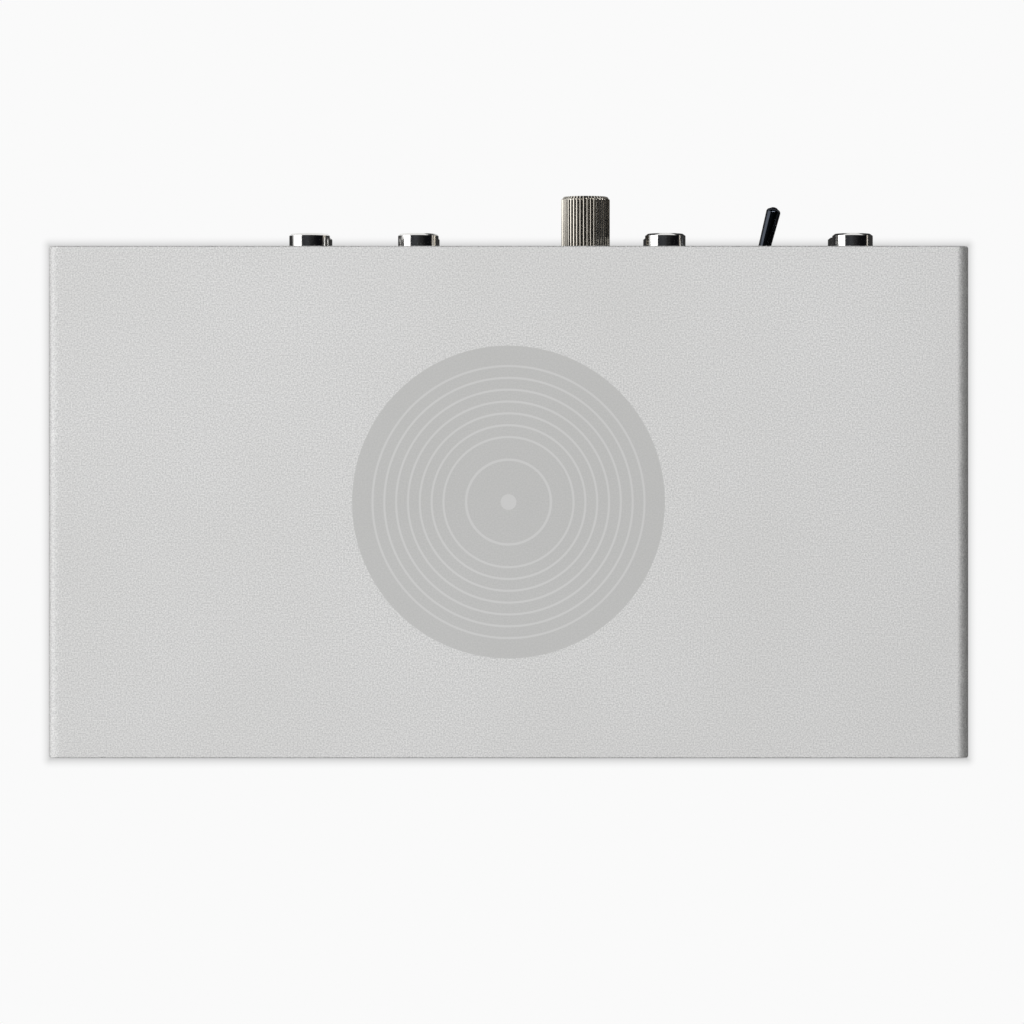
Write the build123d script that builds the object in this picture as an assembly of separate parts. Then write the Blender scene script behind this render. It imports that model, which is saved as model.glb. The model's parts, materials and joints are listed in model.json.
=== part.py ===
# A phono preamplifier: a folded case with stacked phono sockets, a ground post and a toggle switch.
#
# Millimetres. +Y is the rear, +Z is up, and +X is to the right with the rear away from the viewer.
# The pieces are laid out about the middle of the case, and are written with the origin
# under the middle of the whole object, at the soles of the feet.
from build123d import *

import os
from math import cos, pi, radians, sin

# ---------------------------------------------------------------- driving dimensions

# Cover: an inverted U of aluminium sheet, open at the front, the rear and below.
CASE_WIDTH = 187.0
CASE_DEPTH = 104.0
CASE_HEIGHT = 42.0
COVER_THICKNESS = 1.5
COVER_BEND_RADIUS = 2.5
COVER_EDGE_RADIUS = 0.5

# Tray: floor, front panel, rear panel and two low side flanges, folded from one sheet.
TRAY_THICKNESS = 1.2
TRAY_BEND_RADIUS = 2.0
FRONT_RECESS = 3.0
REAR_RECESS = 5.0
FLANGE_HEIGHT = 16.0
COVER_FIT = 0.15
PANEL_TOP_GAP = 0.3

# Clearances: between pieces that are fixed together, and between a shaft and its hole.
SEAT_CLEARANCE = 0.05
RUNNING_CLEARANCE = 0.05
MOVING_GAP = 0.3
CUT_PAST = 1.0

# Countersunk screws that hold the cover's sides to clinch nuts in the tray's flanges.
SCREW_RADIUS = 1.5
SCREW_LENGTH = 6.0
COUNTERSUNK_HEAD_RADIUS = 2.75
HEX_KEY_WIDTH = 2.0
HEX_KEY_DEPTH = 0.9
COVER_SCREW_SPACING = 64.0
COVER_SCREW_HEIGHT = 9.0
CLINCH_NUT_RADIUS = 3.1
CLINCH_NUT_HEIGHT = 1.6

# Feet.
FOOT_HEIGHT = 3.0
FOOT_RADIUS = 6.5
FOOT_SOLE_RADIUS = 5.9
FOOT_EDGE_RADIUS = 0.5
FOOT_SIDE_INSET = 16.0
FOOT_END_INSET = 12.0
FOOT_RECESS_DEPTH = 1.7
PAN_HEAD_RADIUS = 2.7
PAN_HEAD_HEIGHT = 1.4
PAN_HEAD_CLEARANCE = 0.6
FOOT_SCREW_STANDOUT = 1.5

# Circuit board.
BOARD_THICKNESS = 1.6
BOARD_SIDE_GAP = 4.0
BOARD_FRONT_GAP = 6.0
BOARD_REAR_GAP = 0.3
STANDOFF_RADIUS = 2.9
STANDOFF_SHANK_RADIUS = 2.1
STANDOFF_SIDE_INSET = 4.5
STANDOFF_FRONT_INSET = 14.0
STANDOFF_REAR_INSET = 15.5
BOARD_SCREW_TIP_ROOM = 1.6

# Stacked phono sockets: one housing holds an upper and a lower socket. The upper row is measured
# down from the cover, and the board lies below the lower row.
OUTPUT_1_FROM_LEFT = 52.7
OUTPUT_2_FROM_LEFT = 75.0
INPUT_1_FROM_RIGHT = 61.35
INPUT_2_FROM_RIGHT = 22.95
UPPER_SOCKET_DROP = 9.2
LOWER_SOCKET_HEIGHT = 8.5
SOCKET_PITCH = 14.0
SOCKET_REACH = 8.0
SHELL_RADIUS = 4.15
SHELL_WALL = 0.7
SHELL_LIP_RADIUS = 0.3
SHELL_STEP = 0.25
SHELL_ROOT_DEPTH = 9.8
INSULATOR_RECESS = 0.8
CONTACT_RECESS = 1.2
CONTACT_BORE_RADIUS = 1.6
CONTACT_WALL = 0.45
CONTACT_BORE_DEPTH = 10.0
HOUSING_DEPTH = 13.0
HOUSING_HEAD = 5.6
HOUSING_WALL = 1.2
HOUSING_EDGE_RADIUS = 0.4
BOSS_WALL = 0.8
BOSS_STANDOUT = 0.6
TAIL_WIDTH = 0.8
TAIL_SIDE_ROOM = 0.4
TAIL_THICKNESS = 0.4
TAIL_STANDOUT = 1.5
TAIL_STEP = 0.8
JACK_SCREW_RADIUS = 1.2
JACK_SCREW_LENGTH = 7.0
JACK_SCREW_HEAD_RADIUS = 2.1
JACK_SCREW_HEAD_HEIGHT = 1.3

# Power inlet, flush with the rear panel.
INLET_FROM_LEFT = 21.5
INLET_AXIS_HEIGHT = 6.5
INLET_WIDTH = 9.0
INLET_HEIGHT = 11.0
INLET_DEPTH = 14.0
INLET_NOSE_RADIUS = 4.4
INLET_BORE_RADIUS = 3.0
INLET_BORE_DEPTH = 10.5
INLET_PIN_RADIUS = 1.05
INLET_PIN_RECESS = 0.8
INLET_PIN_STEP = 0.25
INLET_PIN_ROOT = 1.5
INLET_SPRING_WIDTH = 2.4
INLET_SPRING_THICKNESS = 0.3
INLET_SPRING_LENGTH = 7.0

# Toggle switch. The lever tilts about a vertical pin inside the bushing.
TOGGLE_FROM_RIGHT = 42.1
TOGGLE_TILT = 14.3
LEVER_REACH = 14.35
LEVER_TIP_RADIUS = 1.48
LEVER_ROOT_RADIUS = 1.17
LEVER_BALL_RADIUS = 2.1
LEVER_STEM_RADIUS = 1.25
LEVER_STEM_LENGTH = 4.4
LEVER_STEM_BORE_RADIUS = 0.85
LEVER_STEM_BORE_DEPTH = 2.2
BUSHING_RADIUS = 3.175
BUSHING_WALL = 0.55
BUSHING_REACH = 4.4
BUSHING_BORE_RADIUS = 2.4
PIVOT_PIN_RADIUS = 0.4
PIVOT_PIN_INSET = 0.25
TOGGLE_NUT_WIDTH = 8.0
TOGGLE_NUT_THICKNESS = 2.0
TOGGLE_NUT_CHAMFER = 0.4
LOCK_WASHER_THICKNESS = 0.5
LOCK_WASHER_RADIUS = 5.0
BRACKET_THICKNESS = 0.6
BRACKET_LEG_THICKNESS = 0.4
BRACKET_LEG_LENGTH = 7.5
SWITCH_HEIGHT = 7.9
SWITCH_DEPTH = 9.5
SWITCH_WALL = 1.2
SWITCH_BACK = 1.7
PLUNGER_REACH = 6.6
PLUNGER_HEAD_LENGTH = 1.6
SPRING_WIRE_RADIUS = 0.1
SPRING_TURNS = 4
ROCKER_OVERHANG = 0.3
ROCKER_WIDTH = 3.2
ROCKER_THICKNESS = 0.6
ROCKER_TILT = 10.0
TERMINAL_SPACING = 4.4
TERMINAL_WIDTH = 2.0
TERMINAL_THICKNESS = 0.8
TERMINAL_LENGTH = 4.0
TERMINAL_HEAD_RADIUS = 0.9
TERMINAL_SIDE_ROOM = 0.1
SWITCH_WIRE_RADIUS = 0.65
SWITCH_WIRE_RUN = 6.0
SWITCH_WIRE_BEND = 3.0

# Ground post. A loose washer and a knurled cap nut sit on a fixed stud.
POST_FROM_RIGHT = 77.6
STUD_RADIUS = 2.0
STUD_INNER_LENGTH = 8.5
COLLAR_RADIUS = 5.0
COLLAR_THICKNESS = 3.0
COLLAR_NECK_RADIUS = 3.3
POST_WASHER_RADIUS = 4.8
POST_WASHER_THICKNESS = 1.0
POST_NUT_RADIUS = 5.0
POST_NUT_LENGTH = 11.9
POST_NUT_CAP = 2.0
POST_NUT_CORNER = 0.8
POST_NUT_TIP_ROOM = 1.0
POST_NUT_FOOT_LENGTH = 0.8
POST_NUT_FOOT_RADIUS = 4.5
KNURL_COUNT = 42
KNURL_DEPTH = 0.32
POST_PLAY = 0.05
LUG_THICKNESS = 0.8
LUG_RADIUS = 4.0
LUG_TAIL_WIDTH = 3.0
LUG_TAIL_LENGTH = 5.6
CRIMP_RADIUS = 1.55
CRIMP_LENGTH = 3.6
POST_LOCK_WASHER_THICKNESS = 0.8
POST_LOCK_WASHER_RADIUS = 3.8
HEX_NUT_WIDTH = 7.0
HEX_NUT_THICKNESS = 3.2
GROUND_WIRE_RADIUS = 0.9
GROUND_WIRE_RUN = 5.0
GROUND_WIRE_HEIGHT = 4.4
GROUND_WIRE_BEND = 2.0

# Indicator light behind the front panel.
LED_X = 0.0
LED_RADIUS = 1.5
LED_AXIS_HEIGHT = 4.2
LED_STANDOUT = 0.3
LED_HOLDER_WIDTH = 5.0
LED_HOLDER_HEIGHT = 6.6
LED_HOLDER_DEPTH = 5.0

# Parts on the board. The supply's parts are measured from the board's left and front edges. The
# signal parts stand in rows to their right, as many as fit.
RESERVOIR_RADIUS = 8.0
RESERVOIR_HEIGHT = 24.0
RESERVOIR_PITCH = 20.0
RESERVOIR_COUNT = 2
RESERVOIR_LEFT = 15.0
RESERVOIR_FRONT = 32.0
REGULATOR_PITCH = 20.0
REGULATOR_FRONT = 32.0
REGULATOR_WIDTH = 10.0
REGULATOR_DEPTH = 4.4
REGULATOR_HEIGHT = 9.0
REGULATOR_TAB_THICKNESS = 1.3
REGULATOR_TAB_HEIGHT = 6.2
REGULATOR_LEG_HEIGHT = 4.0
REGULATOR_LEG_PITCH = 2.54
REGULATOR_LEG_WIDTH = 0.9
HEAT_SINK_WIDTH = 14.0
HEAT_SINK_BASE = 1.6
HEAT_SINK_HEIGHT = 20.0
HEAT_SINK_FIN_LENGTH = 7.0
HEAT_SINK_FIN_THICKNESS = 1.2
HEAT_SINK_FIN_COUNT = 4
HEAT_SINK_GAP = 1.4
SIGNAL_CAP_RADIUS = 4.0
SIGNAL_CAP_HEIGHT = 12.0
SIGNAL_CAP_PITCH = 18.0
CAP_CRIMP_DEPTH = 0.25
CAP_CRIMP_HEIGHT = 1.6
CAP_RIM = 0.6
SIGNAL_FROM_REGULATORS = 27.0
SIGNAL_RIGHT = 11.5
SIGNAL_FRONT = 12.0
SIGNAL_WIRE_GAP = 9.0
SIGNAL_ROWS = 4
OP_AMP_LENGTH = 9.4
OP_AMP_WIDTH = 6.4
OP_AMP_HEIGHT = 3.4
OP_AMP_LIFT = 0.5
OP_AMP_LEG_PITCH = 2.54
OP_AMP_LEG_WIDTH = 0.6
OP_AMP_LEG_COUNT = 4
OP_AMP_PITCH = 27.0
FILM_CAP_LENGTH = 10.0
FILM_CAP_WIDTH = 5.0
FILM_CAP_HEIGHT = 10.5
FILM_CAP_PITCH = 13.5
FILM_CAP_EDGE_RADIUS = 0.5
RESISTOR_RADIUS = 1.15
RESISTOR_LENGTH = 6.2
RESISTOR_LEAD_RADIUS = 0.3
RESISTOR_LEAD_LENGTH = 1.2
RESISTOR_PITCH = 6.75

# ---------------------------------------------------------------- places that follow from them

half_width = CASE_WIDTH / 2
half_depth = CASE_DEPTH / 2
tray_low_z = FOOT_HEIGHT
floor_z = tray_low_z + TRAY_THICKNESS
cover_top_z = tray_low_z + CASE_HEIGHT
ceiling_z = cover_top_z - COVER_THICKNESS
panel_top_z = ceiling_z - PANEL_TOP_GAP
flange_top_z = tray_low_z + FLANGE_HEIGHT
tray_half_width = half_width - COVER_THICKNESS - COVER_FIT
flange_inner_x = tray_half_width - TRAY_THICKNESS
front_outer_y = -half_depth + FRONT_RECESS
front_inner_y = front_outer_y + TRAY_THICKNESS
rear_outer_y = half_depth - REAR_RECESS
rear_inner_y = rear_outer_y - TRAY_THICKNESS
cover_screw_z = tray_low_z + COVER_SCREW_HEIGHT

high_socket_z = ceiling_z - UPPER_SOCKET_DROP
low_socket_z = high_socket_z - SOCKET_PITCH
rear_axis_z = low_socket_z + SOCKET_PITCH / 2
board_top_z = low_socket_z - LOWER_SOCKET_HEIGHT
board_low_z = board_top_z - BOARD_THICKNESS
board_half_width = flange_inner_x - BOARD_SIDE_GAP
board_front_y = front_inner_y + BOARD_FRONT_GAP
board_rear_y = rear_inner_y - BOARD_REAR_GAP

output_1_x = -half_width + OUTPUT_1_FROM_LEFT
output_2_x = -half_width + OUTPUT_2_FROM_LEFT
input_1_x = half_width - INPUT_1_FROM_RIGHT
input_2_x = half_width - INPUT_2_FROM_RIGHT
inlet_x = -half_width + INLET_FROM_LEFT
toggle_x = half_width - TOGGLE_FROM_RIGHT
post_x = half_width - POST_FROM_RIGHT

socket_tip_y = rear_outer_y + SOCKET_REACH
shell_root_radius = SHELL_RADIUS - SHELL_STEP
shell_root_wall = SHELL_WALL - SHELL_STEP
boss_radius = shell_root_radius + BOSS_WALL
boss_end_y = rear_outer_y + BOSS_STANDOUT
housing_half_width = SHELL_RADIUS + TAIL_SIDE_ROOM + HOUSING_WALL

pivot_y = rear_outer_y
switch_front_y = rear_inner_y - LOCK_WASHER_THICKNESS - BRACKET_THICKNESS
switch_rear_y = switch_front_y - SWITCH_DEPTH
switch_floor_y = switch_rear_y + SWITCH_BACK
rocker_y = pivot_y - PLUNGER_REACH - MOVING_GAP - ROCKER_THICKNESS / 2
terminal_end_y = switch_rear_y - TERMINAL_LENGTH
switch_wire_y = terminal_end_y - SWITCH_WIRE_RUN
switch_half_width = TERMINAL_SPACING + TERMINAL_HEAD_RADIUS + TERMINAL_SIDE_ROOM + SWITCH_WALL

collar_end_y = rear_outer_y + COLLAR_THICKNESS
washer_y = collar_end_y + POST_PLAY
nut_foot_y = washer_y + POST_WASHER_THICKNESS + POST_PLAY
nut_tip_y = nut_foot_y + POST_NUT_LENGTH
stud_tip_y = nut_tip_y - POST_NUT_CAP - POST_NUT_TIP_ROOM
lug_y = rear_inner_y - LUG_THICKNESS
hex_nut_rear_y = lug_y - POST_LOCK_WASHER_THICKNESS

# The lever's tip and the nut's tip decide how far the object reaches to the rear.
lever_tip_y = pivot_y + LEVER_REACH * cos(radians(TOGGLE_TILT))
rear_reach = max(nut_tip_y, lever_tip_y, socket_tip_y, half_depth)
front_reach = max(half_depth, -front_outer_y + LED_STANDOUT)
case_shift_y = (front_reach - rear_reach) / 2

SIDES = (-1, 1)

# ---------------------------------------------------------------- shapes used all over


def block(x_from, x_to, y_from, y_to, z_from, z_to):
    """A box between two opposite corners."""
    centre = Pos((x_from + x_to) / 2, (y_from + y_to) / 2, (z_from + z_to) / 2)
    return centre * Box(x_to - x_from, y_to - y_from, z_to - z_from)


def rod_y(radius, x, z, y_from, y_to):
    """A cylinder that lies front to rear."""
    return Pos(x, (y_from + y_to) / 2, z) * Rot(90, 0, 0) * Cylinder(radius, y_to - y_from)


def rod_z(radius, x, y, z_from, z_to):
    """An upright cylinder."""
    return Pos(x, y, (z_from + z_to) / 2) * Cylinder(radius, z_to - z_from)


def tube_y(outer, inner, x, z, y_from, y_to):
    """A round tube or washer that lies front to rear."""
    solid = rod_y(outer, x, z, y_from, y_to)
    return solid - rod_y(inner, x, z, y_from - CUT_PAST, y_to + CUT_PAST)


def turned_y(x, z, *outline):
    """A turned solid about a line front to rear, from (radius, y) points."""
    return Pos(x, 0, z) * revolve(make_face(Polyline(*outline, close=True)), Axis.Y)


def turned_z(x, y, *outline):
    """A turned solid about an upright line, from (radius, z) points."""
    face = make_face(Polyline(*outline, close=True))
    return Pos(x, y, 0) * revolve(Rot(90, 0, 0) * face, Axis.Z)


def hex_y(across_flats, x, z, y_from, y_to):
    """A hexagonal prism that lies front to rear."""
    face = RegularPolygon(across_flats / 2, 6, major_radius=False)
    return Pos(x, y_to, z) * Rot(90, 0, 0) * extrude(face, y_to - y_from)


def wire(radius, bend, *points):
    """A round wire along straight runs joined by arcs."""
    path = FilletPolyline(*points, radius=[bend] * (len(points) - 2))
    return sweep(Plane(path @ 0, z_dir=path % 0) * Circle(radius), path=path)


# ---------------------------------------------------------------- case


def cover_screw_spots():
    """Where the four cover screws enter: side, and place front to rear."""
    return [(side, end * COVER_SCREW_SPACING / 2) for side in SIDES for end in SIDES]


def side_screw(side, y, play):
    """The outside of a countersunk screw in a side wall, larger by play for its hole."""
    head = COUNTERSUNK_HEAD_RADIUS + play
    shank = SCREW_RADIUS + play
    outline = Polyline(
        (0, 0), (0, head), (shank - head, shank), (-SCREW_LENGTH, shank), (-SCREW_LENGTH, 0), close=True
    )
    screw = revolve(make_face(outline), Axis.X)
    turn = 0 if side > 0 else 180
    return Pos(side * half_width, y, cover_screw_z) * Rot(0, 0, turn) * screw


def top_cover():
    """The folded cover, with eased ends and four countersunk holes."""
    cover = block(-half_width, half_width, -half_depth, half_depth, tray_low_z, cover_top_z)
    cover = fillet(cover.edges().filter_by(Axis.Y).group_by(Axis.Z)[-1], COVER_BEND_RADIUS)
    cover = fillet(cover.faces().filter_by(Axis.Y).edges(), COVER_EDGE_RADIUS)
    inner_x = half_width - COVER_THICKNESS
    inner_y = half_depth + CUT_PAST
    hollow = block(-inner_x, inner_x, -inner_y, inner_y, tray_low_z - CUT_PAST, ceiling_z)
    inner_bend = COVER_BEND_RADIUS - COVER_THICKNESS
    hollow = fillet(hollow.edges().filter_by(Axis.Y).group_by(Axis.Z)[-1], inner_bend)
    cover -= hollow
    for side, y in cover_screw_spots():
        cover -= side_screw(side, y, SEAT_CLEARANCE)
    return cover


def cover_screws():
    """Four countersunk screws with hexagonal sockets."""
    screws = []
    for side, y in cover_screw_spots():
        hexagon = Plane.YZ * RegularPolygon(HEX_KEY_WIDTH / 2, 6, major_radius=False)
        key = extrude(hexagon, HEX_KEY_DEPTH, both=True)
        screws.append(side_screw(side, y, 0) - Pos(side * half_width, y, cover_screw_z) * key)
    return screws


def cover_nuts():
    """Four clinch nuts on the inner faces of the tray's flanges."""
    nuts = []
    for side, y in cover_screw_spots():
        ring = Cylinder(CLINCH_NUT_RADIUS, CLINCH_NUT_HEIGHT)
        ring -= Cylinder(SCREW_RADIUS + SEAT_CLEARANCE, CLINCH_NUT_HEIGHT + CUT_PAST)
        x = side * (flange_inner_x - CLINCH_NUT_HEIGHT / 2)
        nuts.append(Pos(x, y, cover_screw_z) * Rot(0, 90, 0) * ring)
    return nuts


def socket_x_places():
    """The four stacked sockets from left to right."""
    return [output_1_x, output_2_x, input_1_x, input_2_x]


def foot_spots():
    """The middles of the feet."""
    x = half_width - FOOT_SIDE_INSET
    y = half_depth - FOOT_END_INSET
    return {
        "foot_front_left": (-x, -y),
        "foot_front_right": (x, -y),
        "foot_rear_left": (-x, y),
        "foot_rear_right": (x, y),
    }


def standoff_spots():
    """The middles of the board's four standoffs."""
    x = board_half_width - STANDOFF_SIDE_INSET
    ends = (board_front_y + STANDOFF_FRONT_INSET, board_rear_y - STANDOFF_REAR_INSET)
    return [(side * x, y) for side in SIDES for y in ends]


def folded_tray():
    """The tray before its holes: a low box whose side walls are cut down to flanges."""
    tray = block(
        -tray_half_width, tray_half_width, front_outer_y, rear_outer_y, tray_low_z, panel_top_z
    )
    tray = fillet(tray.edges().group_by(Axis.Z)[0], TRAY_BEND_RADIUS)
    inside = block(
        -flange_inner_x, flange_inner_x, front_inner_y, rear_inner_y, floor_z, panel_top_z + CUT_PAST
    )
    inside = fillet(inside.edges().group_by(Axis.Z)[0], TRAY_BEND_RADIUS - TRAY_THICKNESS)
    tray -= inside
    past_x = tray_half_width + CUT_PAST
    tray -= block(
        -past_x, past_x, front_inner_y, rear_inner_y, flange_top_z, panel_top_z + CUT_PAST
    )
    for side in SIDES:
        near_x, far_x = sorted((side * (flange_inner_x - TRAY_BEND_RADIUS), side * past_x))
        for y in (front_inner_y, rear_inner_y - TRAY_BEND_RADIUS):
            tray -= block(
                near_x, far_x, y, y + TRAY_BEND_RADIUS, tray_low_z - CUT_PAST, flange_top_z + CUT_PAST
            )
    panel_corners = tray.edges().filter_by(Axis.Y).group_by(Axis.Z)[-1]
    return fillet(panel_corners, COVER_BEND_RADIUS - COVER_THICKNESS)


def panel_hole(radius, x, z):
    """A cutter for a round hole in the rear panel."""
    return rod_y(radius, x, z, rear_inner_y - CUT_PAST, rear_outer_y + CUT_PAST)


def base_tray():
    """The folded tray with its holes."""
    tray = folded_tray()
    for x in socket_x_places():
        for z in (low_socket_z, high_socket_z):
            tray -= panel_hole(boss_radius + SEAT_CLEARANCE, x, z)
        tray -= panel_hole(JACK_SCREW_RADIUS + SEAT_CLEARANCE, x, rear_axis_z)
    tray -= panel_hole(INLET_NOSE_RADIUS + SEAT_CLEARANCE, inlet_x, board_top_z + INLET_AXIS_HEIGHT)
    tray -= panel_hole(BUSHING_RADIUS + SEAT_CLEARANCE, toggle_x, rear_axis_z)
    tray -= panel_hole(COLLAR_NECK_RADIUS + SEAT_CLEARANCE, post_x, rear_axis_z)
    tray -= rod_y(
        LED_RADIUS + SEAT_CLEARANCE, LED_X, board_top_z + LED_AXIS_HEIGHT,
        front_outer_y - CUT_PAST, front_inner_y + CUT_PAST,
    )
    low, high = tray_low_z - CUT_PAST, floor_z + CUT_PAST
    for x, y in foot_spots().values():
        tray -= rod_z(SCREW_RADIUS + SEAT_CLEARANCE, x, y, low, high)
    for x, y in standoff_spots():
        tray -= rod_z(STANDOFF_SHANK_RADIUS + SEAT_CLEARANCE, x, y, low, high)
    for side, y in cover_screw_spots():
        tray -= side_screw(side, y, SEAT_CLEARANCE)
    return tray


def foot(x, y):
    """A turned rubber foot with a recess for its screw's head."""
    recess = PAN_HEAD_RADIUS + PAN_HEAD_CLEARANCE
    body = turned_z(
        x, y, (0, 0), (FOOT_SOLE_RADIUS, 0), (FOOT_RADIUS, FOOT_HEIGHT), (0, FOOT_HEIGHT)
    )
    body = fillet(body.faces().sort_by(Axis.Z)[0].edges(), FOOT_EDGE_RADIUS)
    body -= rod_z(recess, x, y, -CUT_PAST, FOOT_RECESS_DEPTH)
    return body - rod_z(SCREW_RADIUS + SEAT_CLEARANCE, x, y, -CUT_PAST, FOOT_HEIGHT + CUT_PAST)


def pan_screw_up(x, y, seat_z, tip_z):
    """A pan-head screw that points up, with its head's upper face at seat_z."""
    head = rod_z(PAN_HEAD_RADIUS, x, y, seat_z - PAN_HEAD_HEIGHT, seat_z)
    head = fillet(head.faces().sort_by(Axis.Z)[0].edges(), PAN_HEAD_HEIGHT / 3)
    screw = head + rod_z(SCREW_RADIUS, x, y, seat_z, tip_z)
    socket = RegularPolygon(HEX_KEY_WIDTH / 2, 6, major_radius=False)
    return screw - Pos(x, y, seat_z - PAN_HEAD_HEIGHT) * extrude(socket, HEX_KEY_DEPTH)


def foot_screws():
    """Four screws that hold the feet to the tray's floor."""
    tip_z = floor_z + FOOT_SCREW_STANDOUT
    return [pan_screw_up(x, y, FOOT_RECESS_DEPTH, tip_z) for x, y in foot_spots().values()]


# ---------------------------------------------------------------- circuit board


def board_screw_hole():
    """The radius of the board's mounting holes."""
    return SCREW_RADIUS + SEAT_CLEARANCE


def tail_spots(x):
    """Where the four tails of a stacked socket pass the board: name, x and y."""
    back = rear_inner_y - SHELL_ROOT_DEPTH
    reach = shell_root_radius - shell_root_wall / 2
    return {
        "low_shell": (x + reach, back - TAIL_STEP / 2),
        "high_shell": (x - reach, back - TAIL_STEP / 2),
        "low_contact": (x, back - 2 * TAIL_STEP),
        "high_contact": (x, back - 3 * TAIL_STEP),
    }


def circuit_board():
    """The board with holes for its screws and for the sockets' tails."""
    board = block(
        -board_half_width, board_half_width, board_front_y, board_rear_y, board_low_z, board_top_z
    )
    low, high = board_low_z - CUT_PAST, board_top_z + CUT_PAST
    for x, y in standoff_spots():
        board -= rod_z(board_screw_hole(), x, y, low, high)
    for socket_x in socket_x_places():
        for x, y in tail_spots(socket_x).values():
            half_x = TAIL_WIDTH / 2 + SEAT_CLEARANCE
            half_y = TAIL_THICKNESS / 2 + SEAT_CLEARANCE
            board -= block(x - half_x, x + half_x, y - half_y, y + half_y, low, high)
    return board


def board_standoffs():
    """Four threaded standoffs pressed into the tray's floor."""
    standoffs = []
    for x, y in standoff_spots():
        post = rod_z(STANDOFF_RADIUS, x, y, floor_z, board_low_z)
        post += rod_z(STANDOFF_SHANK_RADIUS, x, y, tray_low_z, floor_z)
        standoffs.append(post - rod_z(board_screw_hole(), x, y, floor_z, board_low_z + CUT_PAST))
    return standoffs


def board_screws():
    """Four pan-head screws down through the board into the standoffs."""
    screws = []
    for x, y in standoff_spots():
        head = rod_z(PAN_HEAD_RADIUS, x, y, board_top_z, board_top_z + PAN_HEAD_HEIGHT)
        head = fillet(head.faces().sort_by(Axis.Z)[-1].edges(), PAN_HEAD_HEIGHT / 3)
        screws.append(head + rod_z(SCREW_RADIUS, x, y, floor_z + BOARD_SCREW_TIP_ROOM, board_top_z))
    return screws


# ---------------------------------------------------------------- stacked phono sockets


def jack_housing(x):
    """The moulded body of a stacked pair: two bosses through the panel and an open back."""
    half = housing_half_width
    top_z = high_socket_z + HOUSING_HEAD
    rear_y = rear_inner_y - HOUSING_DEPTH
    body = block(x - half, x + half, rear_y, rear_inner_y, board_top_z, top_z)
    body = fillet(body.edges().filter_by(Axis.Y).group_by(Axis.Z)[-1], HOUSING_EDGE_RADIUS)
    back_y = rear_inner_y - SHELL_ROOT_DEPTH
    pocket = half - HOUSING_WALL
    body -= block(
        x - pocket, x + pocket, rear_y - CUT_PAST, back_y,
        board_top_z - CUT_PAST, top_z - HOUSING_WALL,
    )
    for z in (low_socket_z, high_socket_z):
        body += rod_y(boss_radius, x, z, rear_inner_y, boss_end_y)
        body -= rod_y(shell_root_radius + SEAT_CLEARANCE, x, z, back_y - CUT_PAST, boss_end_y + CUT_PAST)
    hole_y = rear_outer_y - JACK_SCREW_LENGTH
    return body - rod_y(JACK_SCREW_RADIUS + SEAT_CLEARANCE, x, rear_axis_z, hole_y, rear_outer_y)


def jack_shell(x, z, tail):
    """A plated outer sleeve: rounded lip, shoulder over the boss, and a tail down to the board."""
    root_y = rear_inner_y - SHELL_ROOT_DEPTH
    shoulder_y = boss_end_y + SEAT_CLEARANCE
    inner = SHELL_RADIUS - SHELL_WALL
    shell = tube_y(SHELL_RADIUS, inner, x, z, shoulder_y, socket_tip_y)
    shell = fillet(shell.faces().sort_by(Axis.Y)[-1].edges(), SHELL_LIP_RADIUS)
    shell += tube_y(shell_root_radius, inner, x, z, root_y, shoulder_y)
    tail_x, tail_y = tail
    half_x, half_y = shell_root_wall / 2, TAIL_THICKNESS / 2
    low_z = board_low_z - TAIL_STANDOUT
    shell += block(tail_x - half_x, tail_x + half_x, tail_y - half_y, tail_y + half_y, low_z, z)
    return shell + block(
        tail_x - half_x, tail_x + half_x, tail_y - half_y, root_y + half_y, z - TAIL_WIDTH, z
    )


def jack_contact(x, z, tail):
    """A centre contact: a blind tube for the plug's pin, and a tail down to the board."""
    outer = CONTACT_BORE_RADIUS + CONTACT_WALL
    tip_y = socket_tip_y - CONTACT_RECESS
    tail_x, tail_y = tail
    half_y = TAIL_THICKNESS / 2
    contact = rod_y(outer, x, z, tail_y - half_y, tip_y)
    contact -= rod_y(CONTACT_BORE_RADIUS, x, z, tip_y - CONTACT_BORE_DEPTH, tip_y + CUT_PAST)
    half_x = TAIL_WIDTH / 2
    low_z = board_low_z - TAIL_STANDOUT
    return contact + block(
        tail_x - half_x, tail_x + half_x, tail_y - half_y, tail_y + half_y, low_z, z
    )


def jack_insulator(x, z):
    """The coloured plastic that fills a shell and holds the centre contact."""
    outer = SHELL_RADIUS - SHELL_WALL - SEAT_CLEARANCE
    inner = CONTACT_BORE_RADIUS + CONTACT_WALL + SEAT_CLEARANCE
    root_y = rear_inner_y - SHELL_ROOT_DEPTH
    return tube_y(outer, inner, x, z, root_y, socket_tip_y - INSULATOR_RECESS)


def jack_shells(x):
    """The lower and the upper shell of one stacked pair."""
    tails = tail_spots(x)
    return [
        jack_shell(x, low_socket_z, tails["low_shell"]),
        jack_shell(x, high_socket_z, tails["high_shell"]),
    ]


def jack_contacts(x):
    """The lower and the upper centre contact of one stacked pair."""
    tails = tail_spots(x)
    return [
        jack_contact(x, low_socket_z, tails["low_contact"]),
        jack_contact(x, high_socket_z, tails["high_contact"]),
    ]


def insulators(z):
    """The insulators of one row of sockets, upper or lower."""
    return [jack_insulator(x, z) for x in socket_x_places()]


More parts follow.
